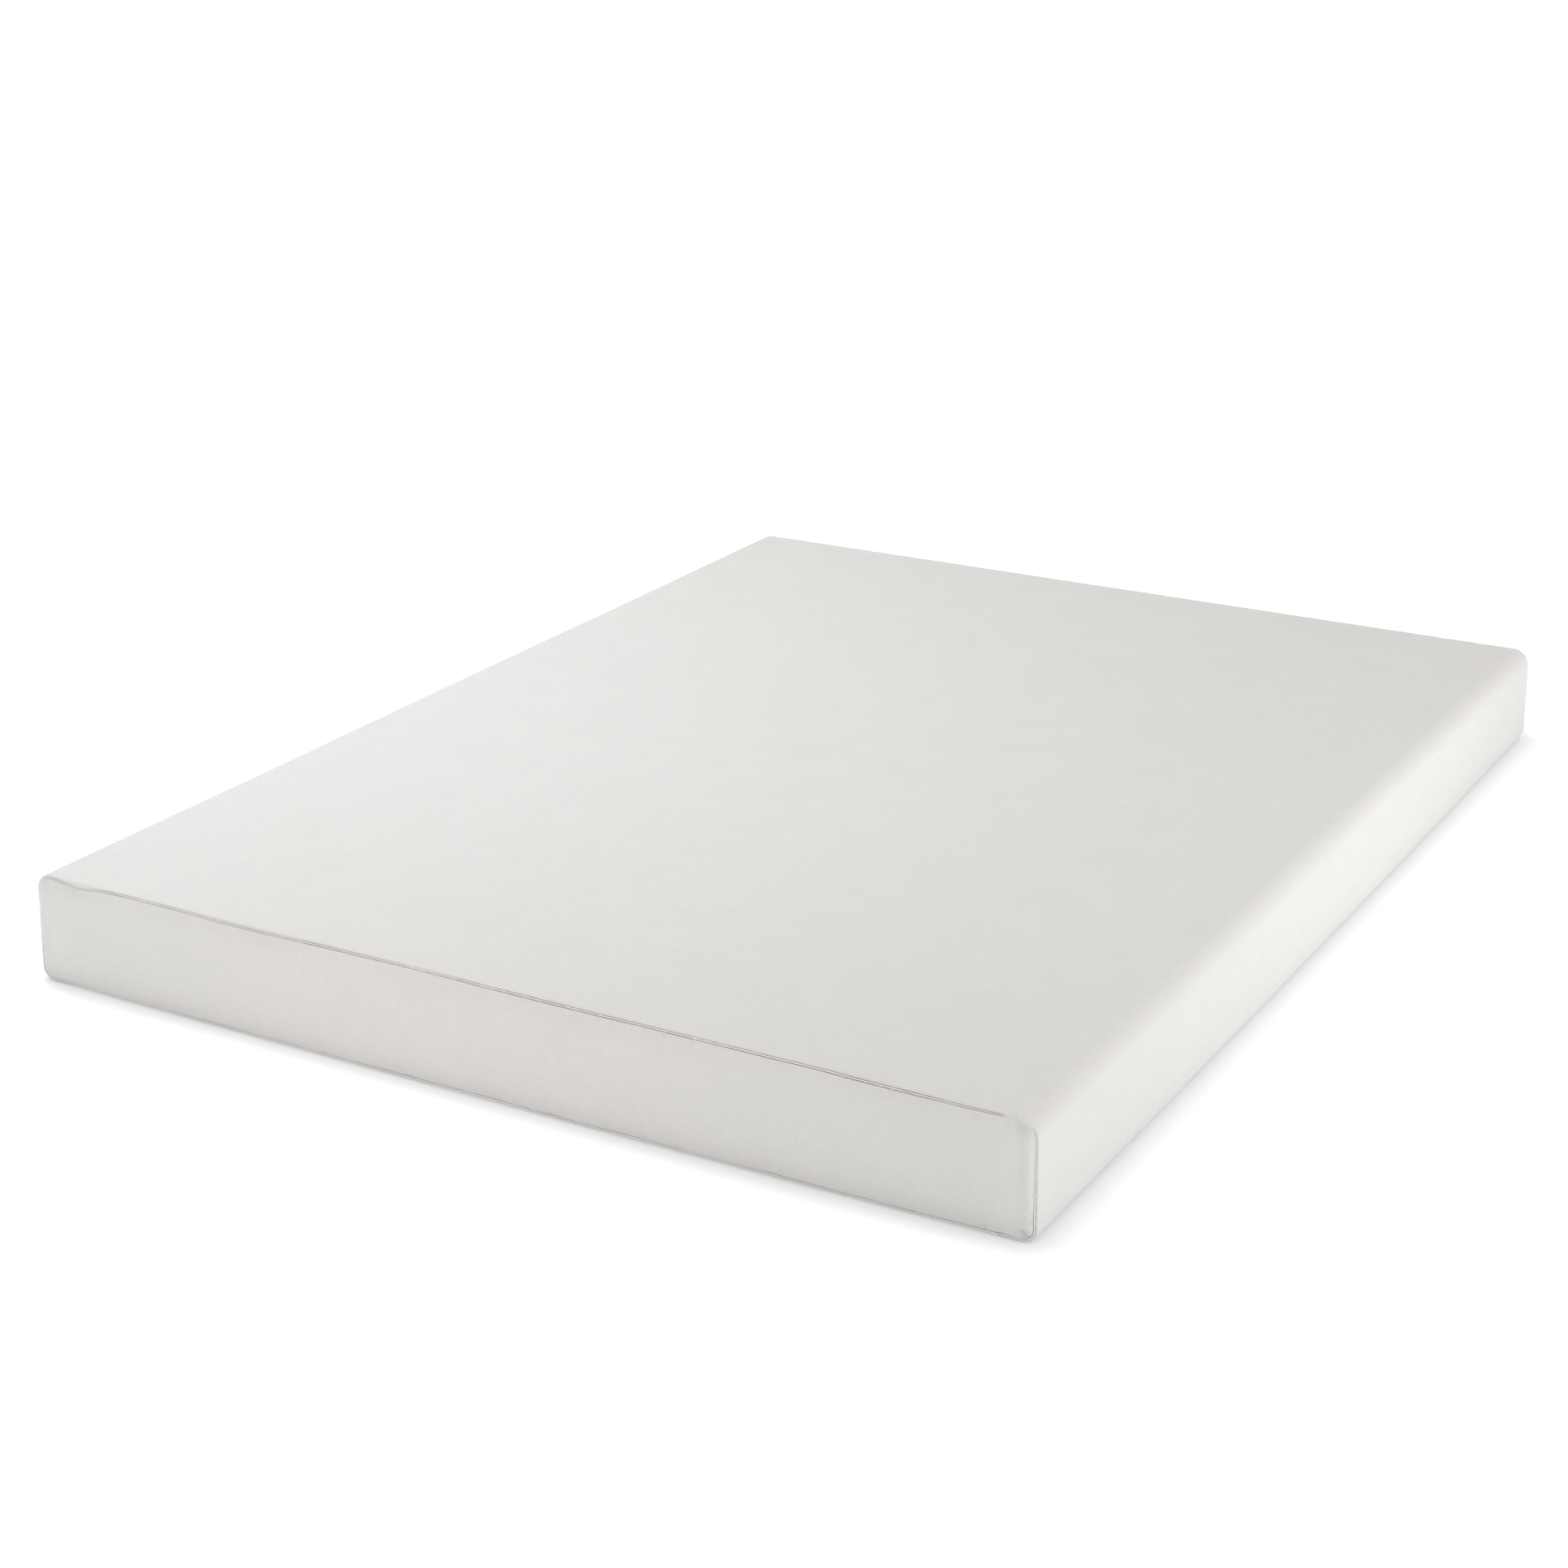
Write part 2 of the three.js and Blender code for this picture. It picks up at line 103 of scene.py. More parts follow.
def colour(label, text, default):
    return bpy.props.FloatVectorProperty(
        name=label, description=text, default=default, subtype="COLOR", size=3, min=0, max=1
    )


def amount(label, text, default):
    """A plain number from 0 up."""
    return bpy.props.FloatProperty(name=label, description=text, default=default, min=0)


def power(label, text, default):
    return bpy.props.FloatProperty(name=label, description=text, default=default, min=0, unit="POWER")


class CoverSettings(bpy.types.PropertyGroup):
    top_radius: length("Top edge radius", "Rounding of the two long upper edges", 0.026)
    bottom_radius: length("Bottom edge radius", "Rounding of the two long lower edges", 0.018)
    edge_roll: length("Edge roll", "Radius of the wrap where it turns over an end", 0.0017)
    groove_roll: length("Groove roll", "Radius of both cloths where they dive into the seam", 0.0013)
    groove_wall: length("Groove wall", "How far the cloths run down into the seam", 0.0026)
    groove_gap: length("Groove gap", "Space between the cloths at the seam", 0.0021)
    pillow: length("Pillow", "How far the middle of an end panel stands out", 0.0022)
    pillow_reach: length("Pillow reach", "Distance from the seam to the full pillow", 0.030)
    gather: amount("Gather", "Share by which an end panel is longer than its seam", 0.006)
    dip: length("Seam dip", "How far the upper and lower seams pull an end panel in", 0.0011)
    side_dip: length("Side seam dip", "How far the upright seams pull it in as well", 0.0018)
    dip_reach: length("Dip reach", "Distance over which the seam's pull fades", 0.0055)
    pucker: length("Pucker depth", "Depth of the small creases that cross the seams", 0.0021)
    rumple: length("Rumple height", "Height of the slow waves in the cloth", 0.0005)
    side_bulge: length("Side bulge", "How far the long sides stand out at mid height", 0.0008)
    bow: length("Side bow", "How far the lower half of the sides stands out at the middle", 0.006)
    knit: colour("Knit colour", "Yarn of the cover", (0.79, 0.78, 0.762))
    base: colour("Underside colour", "Woven cloth of the underside", (0.72, 0.71, 0.69))
    wale: length("Wale", "Width of one column of knit loops", 0.0013)


class SeamSettings(bpy.types.PropertyGroup):
    bead: length("Bead radius", "Radius of the turned edge inside an end seam", 0.0007)
    thread: length("Thread radius", "Radius of the sewing thread", 0.00030)
    wrap_pitch: length("Overlock pitch", "Distance between the overlock stitches", 0.0042)
    stitch: length("Stitch length", "Length of one running stitch", 0.0030)
    stitch_pitch: length("Stitch pitch", "Distance between two running stitches", 0.0040)
    thread_colour: colour("Thread colour", "Sewing thread", (0.80, 0.785, 0.765))


class ZipSettings(bpy.types.PropertyGroup):
    pitch: length("Coil pitch", "Distance between two turns of a coil", 0.0013)
    wire: length("Wire radius", "Radius of the coil's nylon wire", 0.00030)
    bevel: length("Bevel", "Edge rounding of the metal pieces", 0.00022)
    tape: colour("Tape colour", "Woven zip tape", (0.78, 0.77, 0.75))
    nylon: colour("Coil colour", "Nylon coil", (0.84, 0.83, 0.80))
    metal: colour("Metal colour", "Plated slider, tab and stops", (0.62, 0.62, 0.63))
    label: colour("Label colour", "Blank law label", (0.80, 0.80, 0.79))


class CoreSettings(bpy.types.PropertyGroup):
    end_radius: length("End rounding", "Rounding of the foam where an end seam presses it", 0.012)
    saw_wave: length("Saw wave", "Height of the waves that the foam saw leaves", 0.0003)
    memory: colour("Memory foam colour", "Upper foam layer", (0.86, 0.80, 0.64))
    base: colour("Base foam colour", "Lower foam layer", (0.82, 0.82, 0.79))
    glue: colour("Adhesive colour", "Film between the layers", (0.82, 0.70, 0.42))
    sock: colour("Sock colour", "Knitted fire sock", (0.66, 0.62, 0.54))


class StudioSettings(bpy.types.PropertyGroup):
    sky: amount("Sky", "Brightness of the surroundings", 0.92)
    glow: amount("Floor glow", "Light the floor gives off itself, so that it reads as white", 0.45)
    # Near glow and fade paint a contact shadow round the mattress: the floor glows less there and comes up
    # to full glow over the fade distance.
    painted_shadow_glow: amount("Near glow", "The same close to the mattress", 0.15)
    fade: length("Fade", "Distance over which the glow comes up", 0.10)
    floor: colour("Floor colour", "Plain pale floor", (0.76, 0.79, 0.80))
    left: power("Left", "Power of the broad light on the left", 22.0)
    right: power("Right", "Power of the broad light on the right", 30.0)
    side: power("Side", "Power of the small light by the right side", 3.6)
    overhead: power("Overhead", "Power of the light above the left edge", 16.5)
    front: power("Front", "Power of the small light in front of the foot end", 1.3)


SETTINGS = {
    "mattress_cover": CoverSettings,
    "mattress_seams": SeamSettings,
    "mattress_zip": ZipSettings,
    "mattress_core": CoreSettings,
    "mattress_studio": StudioSettings,
}


def settings(name):
    return getattr(bpy.context.scene, "mattress_" + name)


# ---------------------------------------------------------------- node trees


class Nodes:
    """Adds nodes to a tree. An input is a value or another node's output."""

    def __init__(self, tree):
        self.tree = tree

    def add(self, kind, inputs=None, **options):
        node = self.tree.nodes.new(kind)
        for name, value in options.items():
            setattr(node, name, value)
        for key, value in (inputs or {}).items():
            if isinstance(value, bpy.types.NodeSocket):
                self.tree.links.new(value, node.inputs[key])
            else:
                node.inputs[key].default_value = value
        return node

    def math(self, operation, *values):
        return self.add("ShaderNodeMath", dict(enumerate(values)), operation=operation).outputs[0]

    def vector_math(self, operation, *values):
        node = self.add("ShaderNodeVectorMath", dict(enumerate(values)), operation=operation)
        return node.outputs["Vector"]

    def mix_colour(self, factor, first, second):
        """Two colours mixed. The Mix node keeps its colour sockets at 6 and 7 and gives the result at 2."""
        return self.add("ShaderNodeMix", {0: factor, 6: first, 7: second}, data_type="RGBA").outputs[2]

    def fall(self, value, start, end):
        """1 up to start, falling to 0 at end."""
        return self.add("ShaderNodeMapRange", {"Value": value, 1: start, 2: end, 3: 1.0, 4: 0.0}).outputs[0]


def node_group(kind, name, inputs, outputs):
    """A new node tree with its sockets, its builder and its two end nodes."""
    tree = bpy.data.node_groups.new(name, kind)
    for socket_kind, socket_name, default in inputs:
        socket = tree.interface.new_socket(socket_name, in_out="INPUT", socket_type=socket_kind)
        if default is not None:
            socket.default_value = default
    for socket_kind, socket_name in outputs:
        tree.interface.new_socket(socket_name, in_out="OUTPUT", socket_type=socket_kind)
    nodes = Nodes(tree)
    return tree, nodes, nodes.add("NodeGroupInput").outputs, nodes.add("NodeGroupOutput").inputs


# ---------------------------------------------------------------- shader groups

VECTOR, FLOAT = "NodeSocketVector", "NodeSocketFloat"


def knit_group():
    """Jersey loops: columns of slanted stitches, as a height and a mask of the yarn's crests."""
    tree, nodes, given, out = node_group(
        "ShaderNodeTree",
        "Knit Loops",
        [(VECTOR, "Place", None), (FLOAT, "Wale", 0.0013), (FLOAT, "Course Share", 0.8)],
        [(FLOAT, "Height"), (FLOAT, "Crest")],
    )
    parts = nodes.add("ShaderNodeSeparateXYZ", {0: given["Place"]})
    course = nodes.math("MULTIPLY", given["Wale"], given["Course Share"])
    column = nodes.math("DIVIDE", parts.outputs[0], given["Wale"])
    off_centre = nodes.math("ABSOLUTE", nodes.math("SUBTRACT", nodes.math("FRACT", column), 0.5))
    slant = nodes.math("MULTIPLY", off_centre, 1.8)
    row = nodes.math("ADD", nodes.math("DIVIDE", parts.outputs[1], course), slant)
    turn = nodes.math("MULTIPLY", row, 2 * math.pi)
    yarn = nodes.math("MULTIPLY_ADD", nodes.math("COSINE", turn), 0.5, 0.5)
    outer = nodes.math("POWER", nodes.math("MULTIPLY", off_centre, 2.0), 3.0)
    rounded = nodes.math("SUBTRACT", 1.0, outer)
    crest = nodes.math("MULTIPLY", yarn, rounded)
    height = nodes.math("ADD", nodes.math("MULTIPLY", crest, 0.6), nodes.math("MULTIPLY", rounded, 0.4))
    nodes.tree.links.new(height, out["Height"])
    nodes.tree.links.new(crest, out["Crest"])
    return tree


def weave_group():
    """Plain weave: threads that pass over and under one another."""
    tree, nodes, given, out = node_group(
        "ShaderNodeTree",
        "Plain Weave",
        [(VECTOR, "Place", None), (FLOAT, "Thread", 0.0006)],
        [(FLOAT, "Height")],
    )
    parts = nodes.add("ShaderNodeSeparateXYZ", {0: given["Place"]})
    waves = []
    for axis in (0, 1):
        turn = nodes.math("MULTIPLY", nodes.math("DIVIDE", parts.outputs[axis], given["Thread"]), math.pi)
        waves.append(nodes.math("SINE", turn))
    over = nodes.math("MULTIPLY", *waves)
    ridges = nodes.math("ADD", *(nodes.math("ABSOLUTE", wave) for wave in waves))
    height = nodes.math("MULTIPLY_ADD", over, 0.25, nodes.math("MULTIPLY_ADD", ridges, 0.25, 0.25))
    nodes.tree.links.new(height, out["Height"])
    return tree


def mottle_group():
    """Uneven yarn: a value near 1 that changes in specks, flecks and broad clouds."""
    tree, nodes, given, out = node_group(
        "ShaderNodeTree",
        "Yarn Mottle",
        [
            (VECTOR, "Place", None),
            (FLOAT, "Speck Size", 0.0025),
            (FLOAT, "Cloud Size", 0.09),
            (FLOAT, "Strength", 0.05),
        ],
        [(FLOAT, "Value"), (FLOAT, "Speck")],
    )
    drawn_out = nodes.vector_math("MULTIPLY", given["Place"], (1.0, 0.45, 1.0))
    scale = nodes.math("DIVIDE", 1.0, given["Speck Size"])
    speck = nodes.add(
        "ShaderNodeTexNoise", {"Vector": drawn_out, "Scale": scale, "Detail": 2.0, "Roughness": 0.6}
    ).outputs["Fac"]
    fleck_scale = nodes.math("MULTIPLY", scale, 0.22)
    fleck = nodes.add(
        "ShaderNodeTexNoise", {"Vector": drawn_out, "Scale": fleck_scale, "Detail": 3.0}
    ).outputs["Fac"]
    cloud_scale = nodes.math("DIVIDE", 1.0, given["Cloud Size"])
    cloud = nodes.add(
        "ShaderNodeTexNoise", {"Vector": given["Place"], "Scale": cloud_scale, "Detail": 2.0}
    ).outputs["Fac"]
    total = nodes.math("MULTIPLY_ADD", fleck, 0.3, nodes.math("MULTIPLY", cloud, 0.2))
    total = nodes.math("MULTIPLY_ADD", speck, 0.5, total)
    swing = nodes.math("MULTIPLY", nodes.math("SUBTRACT", total, 0.5), 4.0)
    nodes.tree.links.new(nodes.math("MULTIPLY_ADD", swing, given["Strength"], 1.0), out["Value"])
    nodes.tree.links.new(speck, out["Speck"])
    return tree


def foam_group():
    """Open foam cells: a height with small pits, and a mask of the pits."""
    tree, nodes, given, out = node_group(
        "ShaderNodeTree",
        "Foam Cells",
        [(VECTOR, "Place", None), (FLOAT, "Cell", 0.001)],
        [(FLOAT, "Height"), (FLOAT, "Pit")],
    )
    scale = nodes.math("DIVIDE", 1.0, given["Cell"])
    cells = nodes.add("ShaderNodeTexVoronoi", {"Vector": given["Place"], "Scale": scale})
    coarse_scale = nodes.math("MULTIPLY", scale, 0.12)
    coarse = nodes.add(
        "ShaderNodeTexNoise", {"Vector": given["Place"], "Scale": coarse_scale, "Detail": 3.0}
    ).outputs["Fac"]
    pit = nodes.fall(cells.outputs["Distance"], 0.15, 0.5)
    height = nodes.math("MULTIPLY_ADD", coarse, 0.5, nodes.math("MULTIPLY", pit, -0.5))
    nodes.tree.links.new(height, out["Height"])
    nodes.tree.links.new(pit, out["Pit"])
    return tree


# ---------------------------------------------------------------- materials


def new_material(name, **values):
    """A material with its Principled BSDF's own sockets set."""
    material = bpy.data.materials.new(name)
    material.use_nodes = True
    shader = material.node_tree.nodes["Principled BSDF"]
    for socket, value in values.items():
        shader.inputs[socket.replace("_", " ")].default_value = value
    return material, Nodes(material.node_tree), shader


def shaded(rgb, factor):
    return (*(value * factor for value in rgb), 1.0)


def cloth_place(nodes):
    """The cloth's own flat coordinates in metres."""
    return nodes.add("ShaderNodeUVMap", uv_map="cloth").outputs["UV"]


def object_place(nodes):
    return nodes.add("ShaderNodeTexCoord").outputs["Object"]


def mottled(nodes, shader, groups, base, place, mottle, speck_size, smoothest, spread):
    """Varies a base colour and the roughness in specks and clouds, and gives back the specks."""
    inputs = {"Place": place, "Strength": mottle, "Speck Size": speck_size}
    yarn = nodes.add("ShaderNodeGroup", inputs, node_tree=groups["mottle"])
    tone = nodes.vector_math("MULTIPLY", base, yarn.outputs["Value"])
    nodes.tree.links.new(tone, shader.inputs["Base Color"])
    rough = nodes.math("MULTIPLY_ADD", yarn.outputs["Speck"], spread, smoothest)
    nodes.tree.links.new(rough, shader.inputs["Roughness"])
    return yarn.outputs["Speck"]


def relief(nodes, shader, height, distance):
    bump = nodes.add("ShaderNodeBump", {"Height": height, "Distance": distance, "Strength": 1.0})
    nodes.tree.links.new(bump.outputs["Normal"], shader.inputs["Normal"])


def knitted_material(name, rgb, wale, groups, mottle=0.05, depth=0.35, share=0.8):
    """Knitted yarn, with painted shade: the colour is darker in the gaps between the loops and lighter on
    their crests.
    """
    material, nodes, shader = new_material(
        name, Sheen_Weight=0.12, Sheen_Roughness=0.5, Specular_IOR_Level=0.25
    )
    place = cloth_place(nodes)
    inputs = {"Place": place, "Wale": wale, "Course Share": share}
    loops = nodes.add("ShaderNodeGroup", inputs, node_tree=groups["knit"])
    # Painted shade: darker colour between the loops, lighter on the crests.
    base = nodes.mix_colour(loops.outputs["Crest"], shaded(rgb, 0.90), shaded(rgb, 1.04))
    speck = mottled(nodes, shader, groups, base, place, mottle, 2 * wale, 0.84, 0.12)
    height = nodes.math("MULTIPLY_ADD", speck, 0.5, loops.outputs["Height"])
    relief(nodes, shader, height, depth * wale)
    return material


def woven_material(name, rgb, thread, groups, mottle=0.04, roughness=0.85, sheen=0.1):
    """Woven cloth, such as a tape, a label or the underside, with painted shade: the colour is darker where
    the threads lie low and lighter where they cross over.
    """
    material, nodes, shader = new_material(name, Sheen_Weight=sheen, Specular_IOR_Level=0.3)
    place = cloth_place(nodes)
    weave = nodes.add("ShaderNodeGroup", {"Place": place, "Thread": thread}, node_tree=groups["weave"])
    # Painted shade: darker colour where the weave lies low, lighter on the raised threads.
    base = nodes.mix_colour(weave.outputs["Height"], shaded(rgb, 0.86), shaded(rgb, 1.05))
    mottled(nodes, shader, groups, base, place, mottle, 3 * thread, roughness - 0.08, 0.15)
    relief(nodes, shader, weave.outputs["Height"], 0.35 * thread)
    return material


def foam_material(name, rgb, cell, groups):
    """Open-cell foam, with painted shade: the colour is darker in the pits."""
    material, nodes, shader = new_material(name, Sheen_Weight=0.15, Specular_IOR_Level=0.2)
    place = object_place(nodes)
    cells = nodes.add("ShaderNodeGroup", {"Place": place, "Cell": cell}, node_tree=groups["foam"])
    # Painted shade: darker colour in the pits.
    base = nodes.mix_colour(cells.outputs["Pit"], shaded(rgb, 1.03), shaded(rgb, 0.72))
    mottled(nodes, shader, groups, base, place, 0.06, 4 * cell, 0.85, 0.1)
    relief(nodes, shader, cells.outputs["Height"], 0.4 * cell)
    return material


def thread_material(name, rgb, groups):
    """Spun sewing thread with a fine twist."""
    material, nodes, shader = new_material(name, Sheen_Weight=0.2, Specular_IOR_Level=0.35)
    place = object_place(nodes)
    mottled(nodes, shader, groups, rgb[:3], place, 0.08, 0.8 * MM, 0.65, 0.2)
    twist = nodes.add("ShaderNodeTexWave", {"Vector": place, "Scale": 900.0}, bands_direction="DIAGONAL")
    relief(nodes, shader, twist.outputs["Fac"], 0.00006)
    return material


def nylon_material(name, rgb, groups):
    """Slightly clouded nylon wire."""
    material, nodes, shader = new_material(
        name, Specular_IOR_Level=0.5, Coat_Weight=0.15, Coat_Roughness=0.3
    )
    speck = mottled(nodes, shader, groups, rgb[:3], object_place(nodes), 0.05, 1.0 * MM, 0.3, 0.2)
    relief(nodes, shader, speck, 0.00004)
    return material


def plated_material(name, rgb):
    """Nickel-plated zinc: fine tumbling marks and a few dull patches."""
    material, nodes, shader = new_material(name, Metallic=1.0)
    place = object_place(nodes)
    marks, patches = (
        nodes.add("ShaderNodeTexNoise", {"Vector": place, "Scale": scale, "Detail": detail}).outputs["Fac"]
        for scale, detail in ((2500.0, 3.0), (260.0, 2.0))
    )
    tone = nodes.mix_colour(patches, shaded(rgb, 0.82), shaded(rgb, 1.08))
    nodes.tree.links.new(tone, shader.inputs["Base Color"])
    dull = nodes.math("MULTIPLY_ADD", marks, 0.18, nodes.math("MULTIPLY_ADD", patches, 0.15, 0.16))
    nodes.tree.links.new(dull, shader.inputs["Roughness"])
    relief(nodes, shader, marks, 0.00002)
    return material


def adhesive_material(name, rgb):
    """A sprayed web of adhesive: shiny strands over a thin film."""
    material, nodes, shader = new_material(name, Specular_IOR_Level=0.5, Coat_Weight=0.2, Coat_Roughness=0.2)
    place = object_place(nodes)
    web = nodes.add("ShaderNodeTexVoronoi", {"Vector": place, "Scale": 220.0}, feature="DISTANCE_TO_EDGE")
    strand = nodes.fall(web.outputs["Distance"], 0.0, 0.12)
    tone = nodes.mix_colour(strand, shaded(rgb, 1.1), shaded(rgb, 0.7))
    nodes.tree.links.new(tone, shader.inputs["Base Color"])
    nodes.tree.links.new(nodes.math("MULTIPLY_ADD", strand, -0.3, 0.6), shader.inputs["Roughness"])
    relief(nodes, shader, strand, 0.0001)
    return material


def make_materials():
    """The finish of each material slot. Thread, loop and cell sizes are in metres."""
    cover, seams, zipper, core = (settings(name) for name in ("cover", "seams", "zip", "core"))
    groups = {
        "knit": knit_group(),
        "weave": weave_group(),
        "mottle": mottle_group(),
        "foam": foam_group(),
    }
    return {
        "cover_knit": knitted_material("Cover Knit", cover.knit, cover.wale, groups),
        "base_cloth": woven_material("Underside Cloth", cover.base, 0.0011, groups),
        "seam_thread": thread_material("Sewing Thread", seams.thread_colour, groups),
        "zip_tape": woven_material("Zip Tape", zipper.tape, 0.00055, groups),
        "zip_coil": nylon_material("Nylon Coil", zipper.nylon, groups),
        "zip_metal": plated_material("Plated Metal", zipper.metal),
        "label_cloth": woven_material("Label Cloth", zipper.label, 0.00035, groups, 0.02, 0.6, 0.0),
        "fire_sock": knitted_material("Fire Sock", core.sock, 0.0024, groups, 0.1, 0.4, 0.6),
        "comfort_foam": foam_material("Memory Foam", core.memory, 0.0008, groups),
        "adhesive": adhesive_material("Adhesive Film", core.glue),
        "base_foam": foam_material("Base Foam", core.base, 0.0014, groups),
    }


MATERIALS = {}


def material(slot):
    """The finish for a material slot, made the first time it is asked for."""
    if not MATERIALS:
        MATERIALS.update(make_materials())
    return MATERIALS[slot]


# ---------------------------------------------------------------- the cover's outline


class Outline:
    """The cover's cross-section, a rounded rectangle. A place on it is a distance from the bottom centre,
    first along +X and up the right side. Insets are measured inwards from it."""

    def __init__(self, half, low, high, top, bottom):
        self.half, self.low, self.high = half, low, high
        self.top, self.bottom = top, bottom
        self.floor_end = half - bottom
        self.side_start = self.floor_end + bottom * QUARTER
        self.side_end = self.side_start + (high - low) - top - bottom
        self.top_start = self.side_end + top * QUARTER
        self.length = 2 * (self.top_start + half - top)

    def at(self, place):
        """X, Z and the outward normal's X and Z at each place."""
        place = np.asarray(place, float) % self.length
        left = place > self.length / 2
        s = np.where(left, self.length - place, place)
        lower = np.clip((s - self.floor_end) / max(self.bottom, 1e-9), 0, QUARTER)
        upper = np.clip((s - self.side_end) / max(self.top, 1e-9), 0, QUARTER)
        x = np.minimum(s, self.floor_end) + self.bottom * np.sin(lower) - self.top * (1 - np.cos(upper))
        x = x - np.maximum(s - self.top_start, 0)
        z = self.low + self.bottom * (1 - np.cos(lower)) + self.top * np.sin(upper)
        z = z + np.clip(s - self.side_start, 0, self.side_end - self.side_start)
        angle = lower - QUARTER + upper
        sign = np.where(left, -1.0, 1.0)
        return x * sign, z, np.cos(angle) * sign, np.sin(angle)

    def locate(self, x, z):
        """For points of a rectangle drawn over the outline: the nearest place and the inset there.
        Inside each corner's square the points are pulled round to follow its arc."""
        size, rise = np.abs(x), z - self.low
        ceiling = self.high - self.low
        side, roof = self.half - size, ceiling - rise
        inset = np.minimum(np.minimum(side, roof), rise)
        place = np.where(
            side <= np.minimum(roof, rise),
            self.side_start + rise - self.bottom,
            np.where(roof < rise, self.top_start + self.half - self.top - size, size),
        )
        for radius, away, start, turn in (
            (self.top, roof, self.side_end, 1),
            (self.bottom, rise, self.side_start, -1),
        ):
            across, along = 1 - side / radius, 1 - away / radius
            inside = (across > 0) & (along > 0)
            most, least = np.maximum(across, along), np.minimum(across, along)
            angle = least / np.maximum(most, 1e-9) * (QUARTER / 2)
            angle = np.where(across >= along, angle, QUARTER - angle)
            inset = np.where(inside, radius * (1 - most), inset)
            place = np.where(inside, start + turn * radius * angle, place)
        return np.where(x < 0, self.length - place, place), inset


def cover_outline():
    cover = settings("cover")
    return Outline(HALF_WIDTH, 0.0, HEIGHT, cover.top_radius, cover.bottom_radius)


def spaced(start, end, step):
    """Even places from start up to, but not including, end."""
    return np.linspace(start, end, max(1, round(abs(end - start) / step)), endpoint=False)


# ---------------------------------------------------------------- chance that repeats


def wavy(place, whole, pitch, seed):
    """A smooth random curve from -1 to 1 round a closed length, with about one swing for each pitch."""
    count = max(3, round(whole / pitch))
    values = np.random.default_rng(seed).uniform(-1, 1, count)
    at = np.asarray(place, float) / whole * count
    low = np.floor(at).astype(int)
    part = at - low
    ease = part * part * (3 - 2 * part)
    return values[low % count] * (1 - ease) + values[(low + 1) % count] * ease


def rumpled(u, v, pitch, seed):
    """A smooth random field from -1 to 1 over a surface."""
    size = 64
    values = np.random.default_rng(seed).uniform(-1, 1, (size, size))
    (u0, pu), (v0, pv) = ((np.floor(w / pitch).astype(int), w / pitch % 1) for w in (u, v))
    eu, ev = (p * p * (3 - 2 * p) for p in (pu, pv))
    rows = [values[(u0 + du) % size, v0 % size] * (1 - ev) + values[(u0 + du) % size, (v0 + 1) % size] * ev
            for du in (0, 1)]
    return rows[0] * (1 - eu) + rows[1] * eu


def creases(place, whole, pitch, seed):
    """Narrow creases from 0 to 1 at uneven distances, in loose groups."""
    line = np.exp(-((wavy(place, whole, pitch, seed) / 0.16) ** 2))
    group = np.clip(0.35 + 0.9 * wavy(place, whole, 6 * pitch, seed + 1), 0.05, 1)
    return line * group


# ---------------------------------------------------------------- how the cloths meet at an end seam

# Loose places on the foot end's upper seam: X, half width and how far the seam runs down there
LOOSE_PLACES = ((-0.688, 0.027, 0.0040), (-0.37, 0.09, 0.0020))


def seam_shape(outline, place, end):
    """The sizes of the seam's groove at places round an end, each an array."""
    cover, whole = settings("cover"), outline.length
    x, z, normal_x, _ = outline.at(place)
    seed = 10 if end == FOOT else 40
    wander = wavy(place, whole, 0.11, seed)
    drop = 0.0003 + 0.0008 * np.clip(wander, 0, 1)
    if end == FOOT:
        for centre, width, depth in LOOSE_PLACES:
            drop = drop + depth * np.exp(-(((x - centre) / width) ** 2)) * (z > HEIGHT / 2)
    turn = math.radians(52) + math.radians(33) * np.clip(drop / 0.004, 0, 1)
    corner = cover.edge_roll * (1 + 0.15 * wavy(place, whole, 0.05, seed + 2))
    roll = cover.groove_roll
    gap = cover.groove_gap * (1 + 0.15 * wavy(place, whole, 0.03, seed + 6) - 0.25 * np.abs(normal_x))
    dip = cover.dip + cover.side_dip * np.abs(normal_x)
    return SimpleNamespace(
        drop=drop,
        turn=turn,
        corner=corner,
        roll=roll,
        gap=gap,
        wall=cover.groove_wall,
        dip=dip,
        back=(2 * roll + gap) * np.cos(turn) + dip,
        face_edge=corner + drop + (2 * roll + gap) * np.sin(turn),
        crease=creases(place, whole, 0.012, seed + 4),
    )


def wrap_edge(step, seam):
    """Depth behind the end face and inset of the wrap. Steps below 0 are metres of flat cloth; 0 to 1 turns
    over the edge, 1 to 2 runs down the face, 2 to 3 rolls into the groove and 3 to 4 goes down its wall."""
    corner = np.clip(step, 0, 1) * QUARTER
    drop = np.clip(step - 1, 0, 1) * seam.drop
    roll = np.clip(step - 2, 0, 1) * seam.turn
    wall = np.clip(step - 3, 0, 1) * seam.wall
    flat = np.minimum(step, 0)
    depth = seam.back + seam.corner * (1 - np.sin(corner)) - flat
    depth = depth + seam.roll * (1 - np.cos(roll)) + wall * np.sin(seam.turn)
    inset = seam.corner * (1 - np.cos(corner)) + drop + seam.roll * np.sin(roll) + wall * np.cos(seam.turn)
    run = seam.corner * corner + drop + seam.roll * roll + wall + flat
    return depth, inset, run


def panel_edge(step, seam):
    """Depth and inset of an end panel: steps 0 to 1 roll into the groove, 1 to 2 goes down its wall."""
    turn = math.pi - seam.turn
    roll = np.clip(step, 0, 1) * turn
    wall = np.clip(step - 1, 0, 1) * seam.wall
    depth = seam.roll * (1 - np.cos(roll)) + wall * np.sin(turn)
    inset = seam.face_edge - seam.roll * np.sin(roll) + wall * np.cos(seam.turn)
    return depth, inset


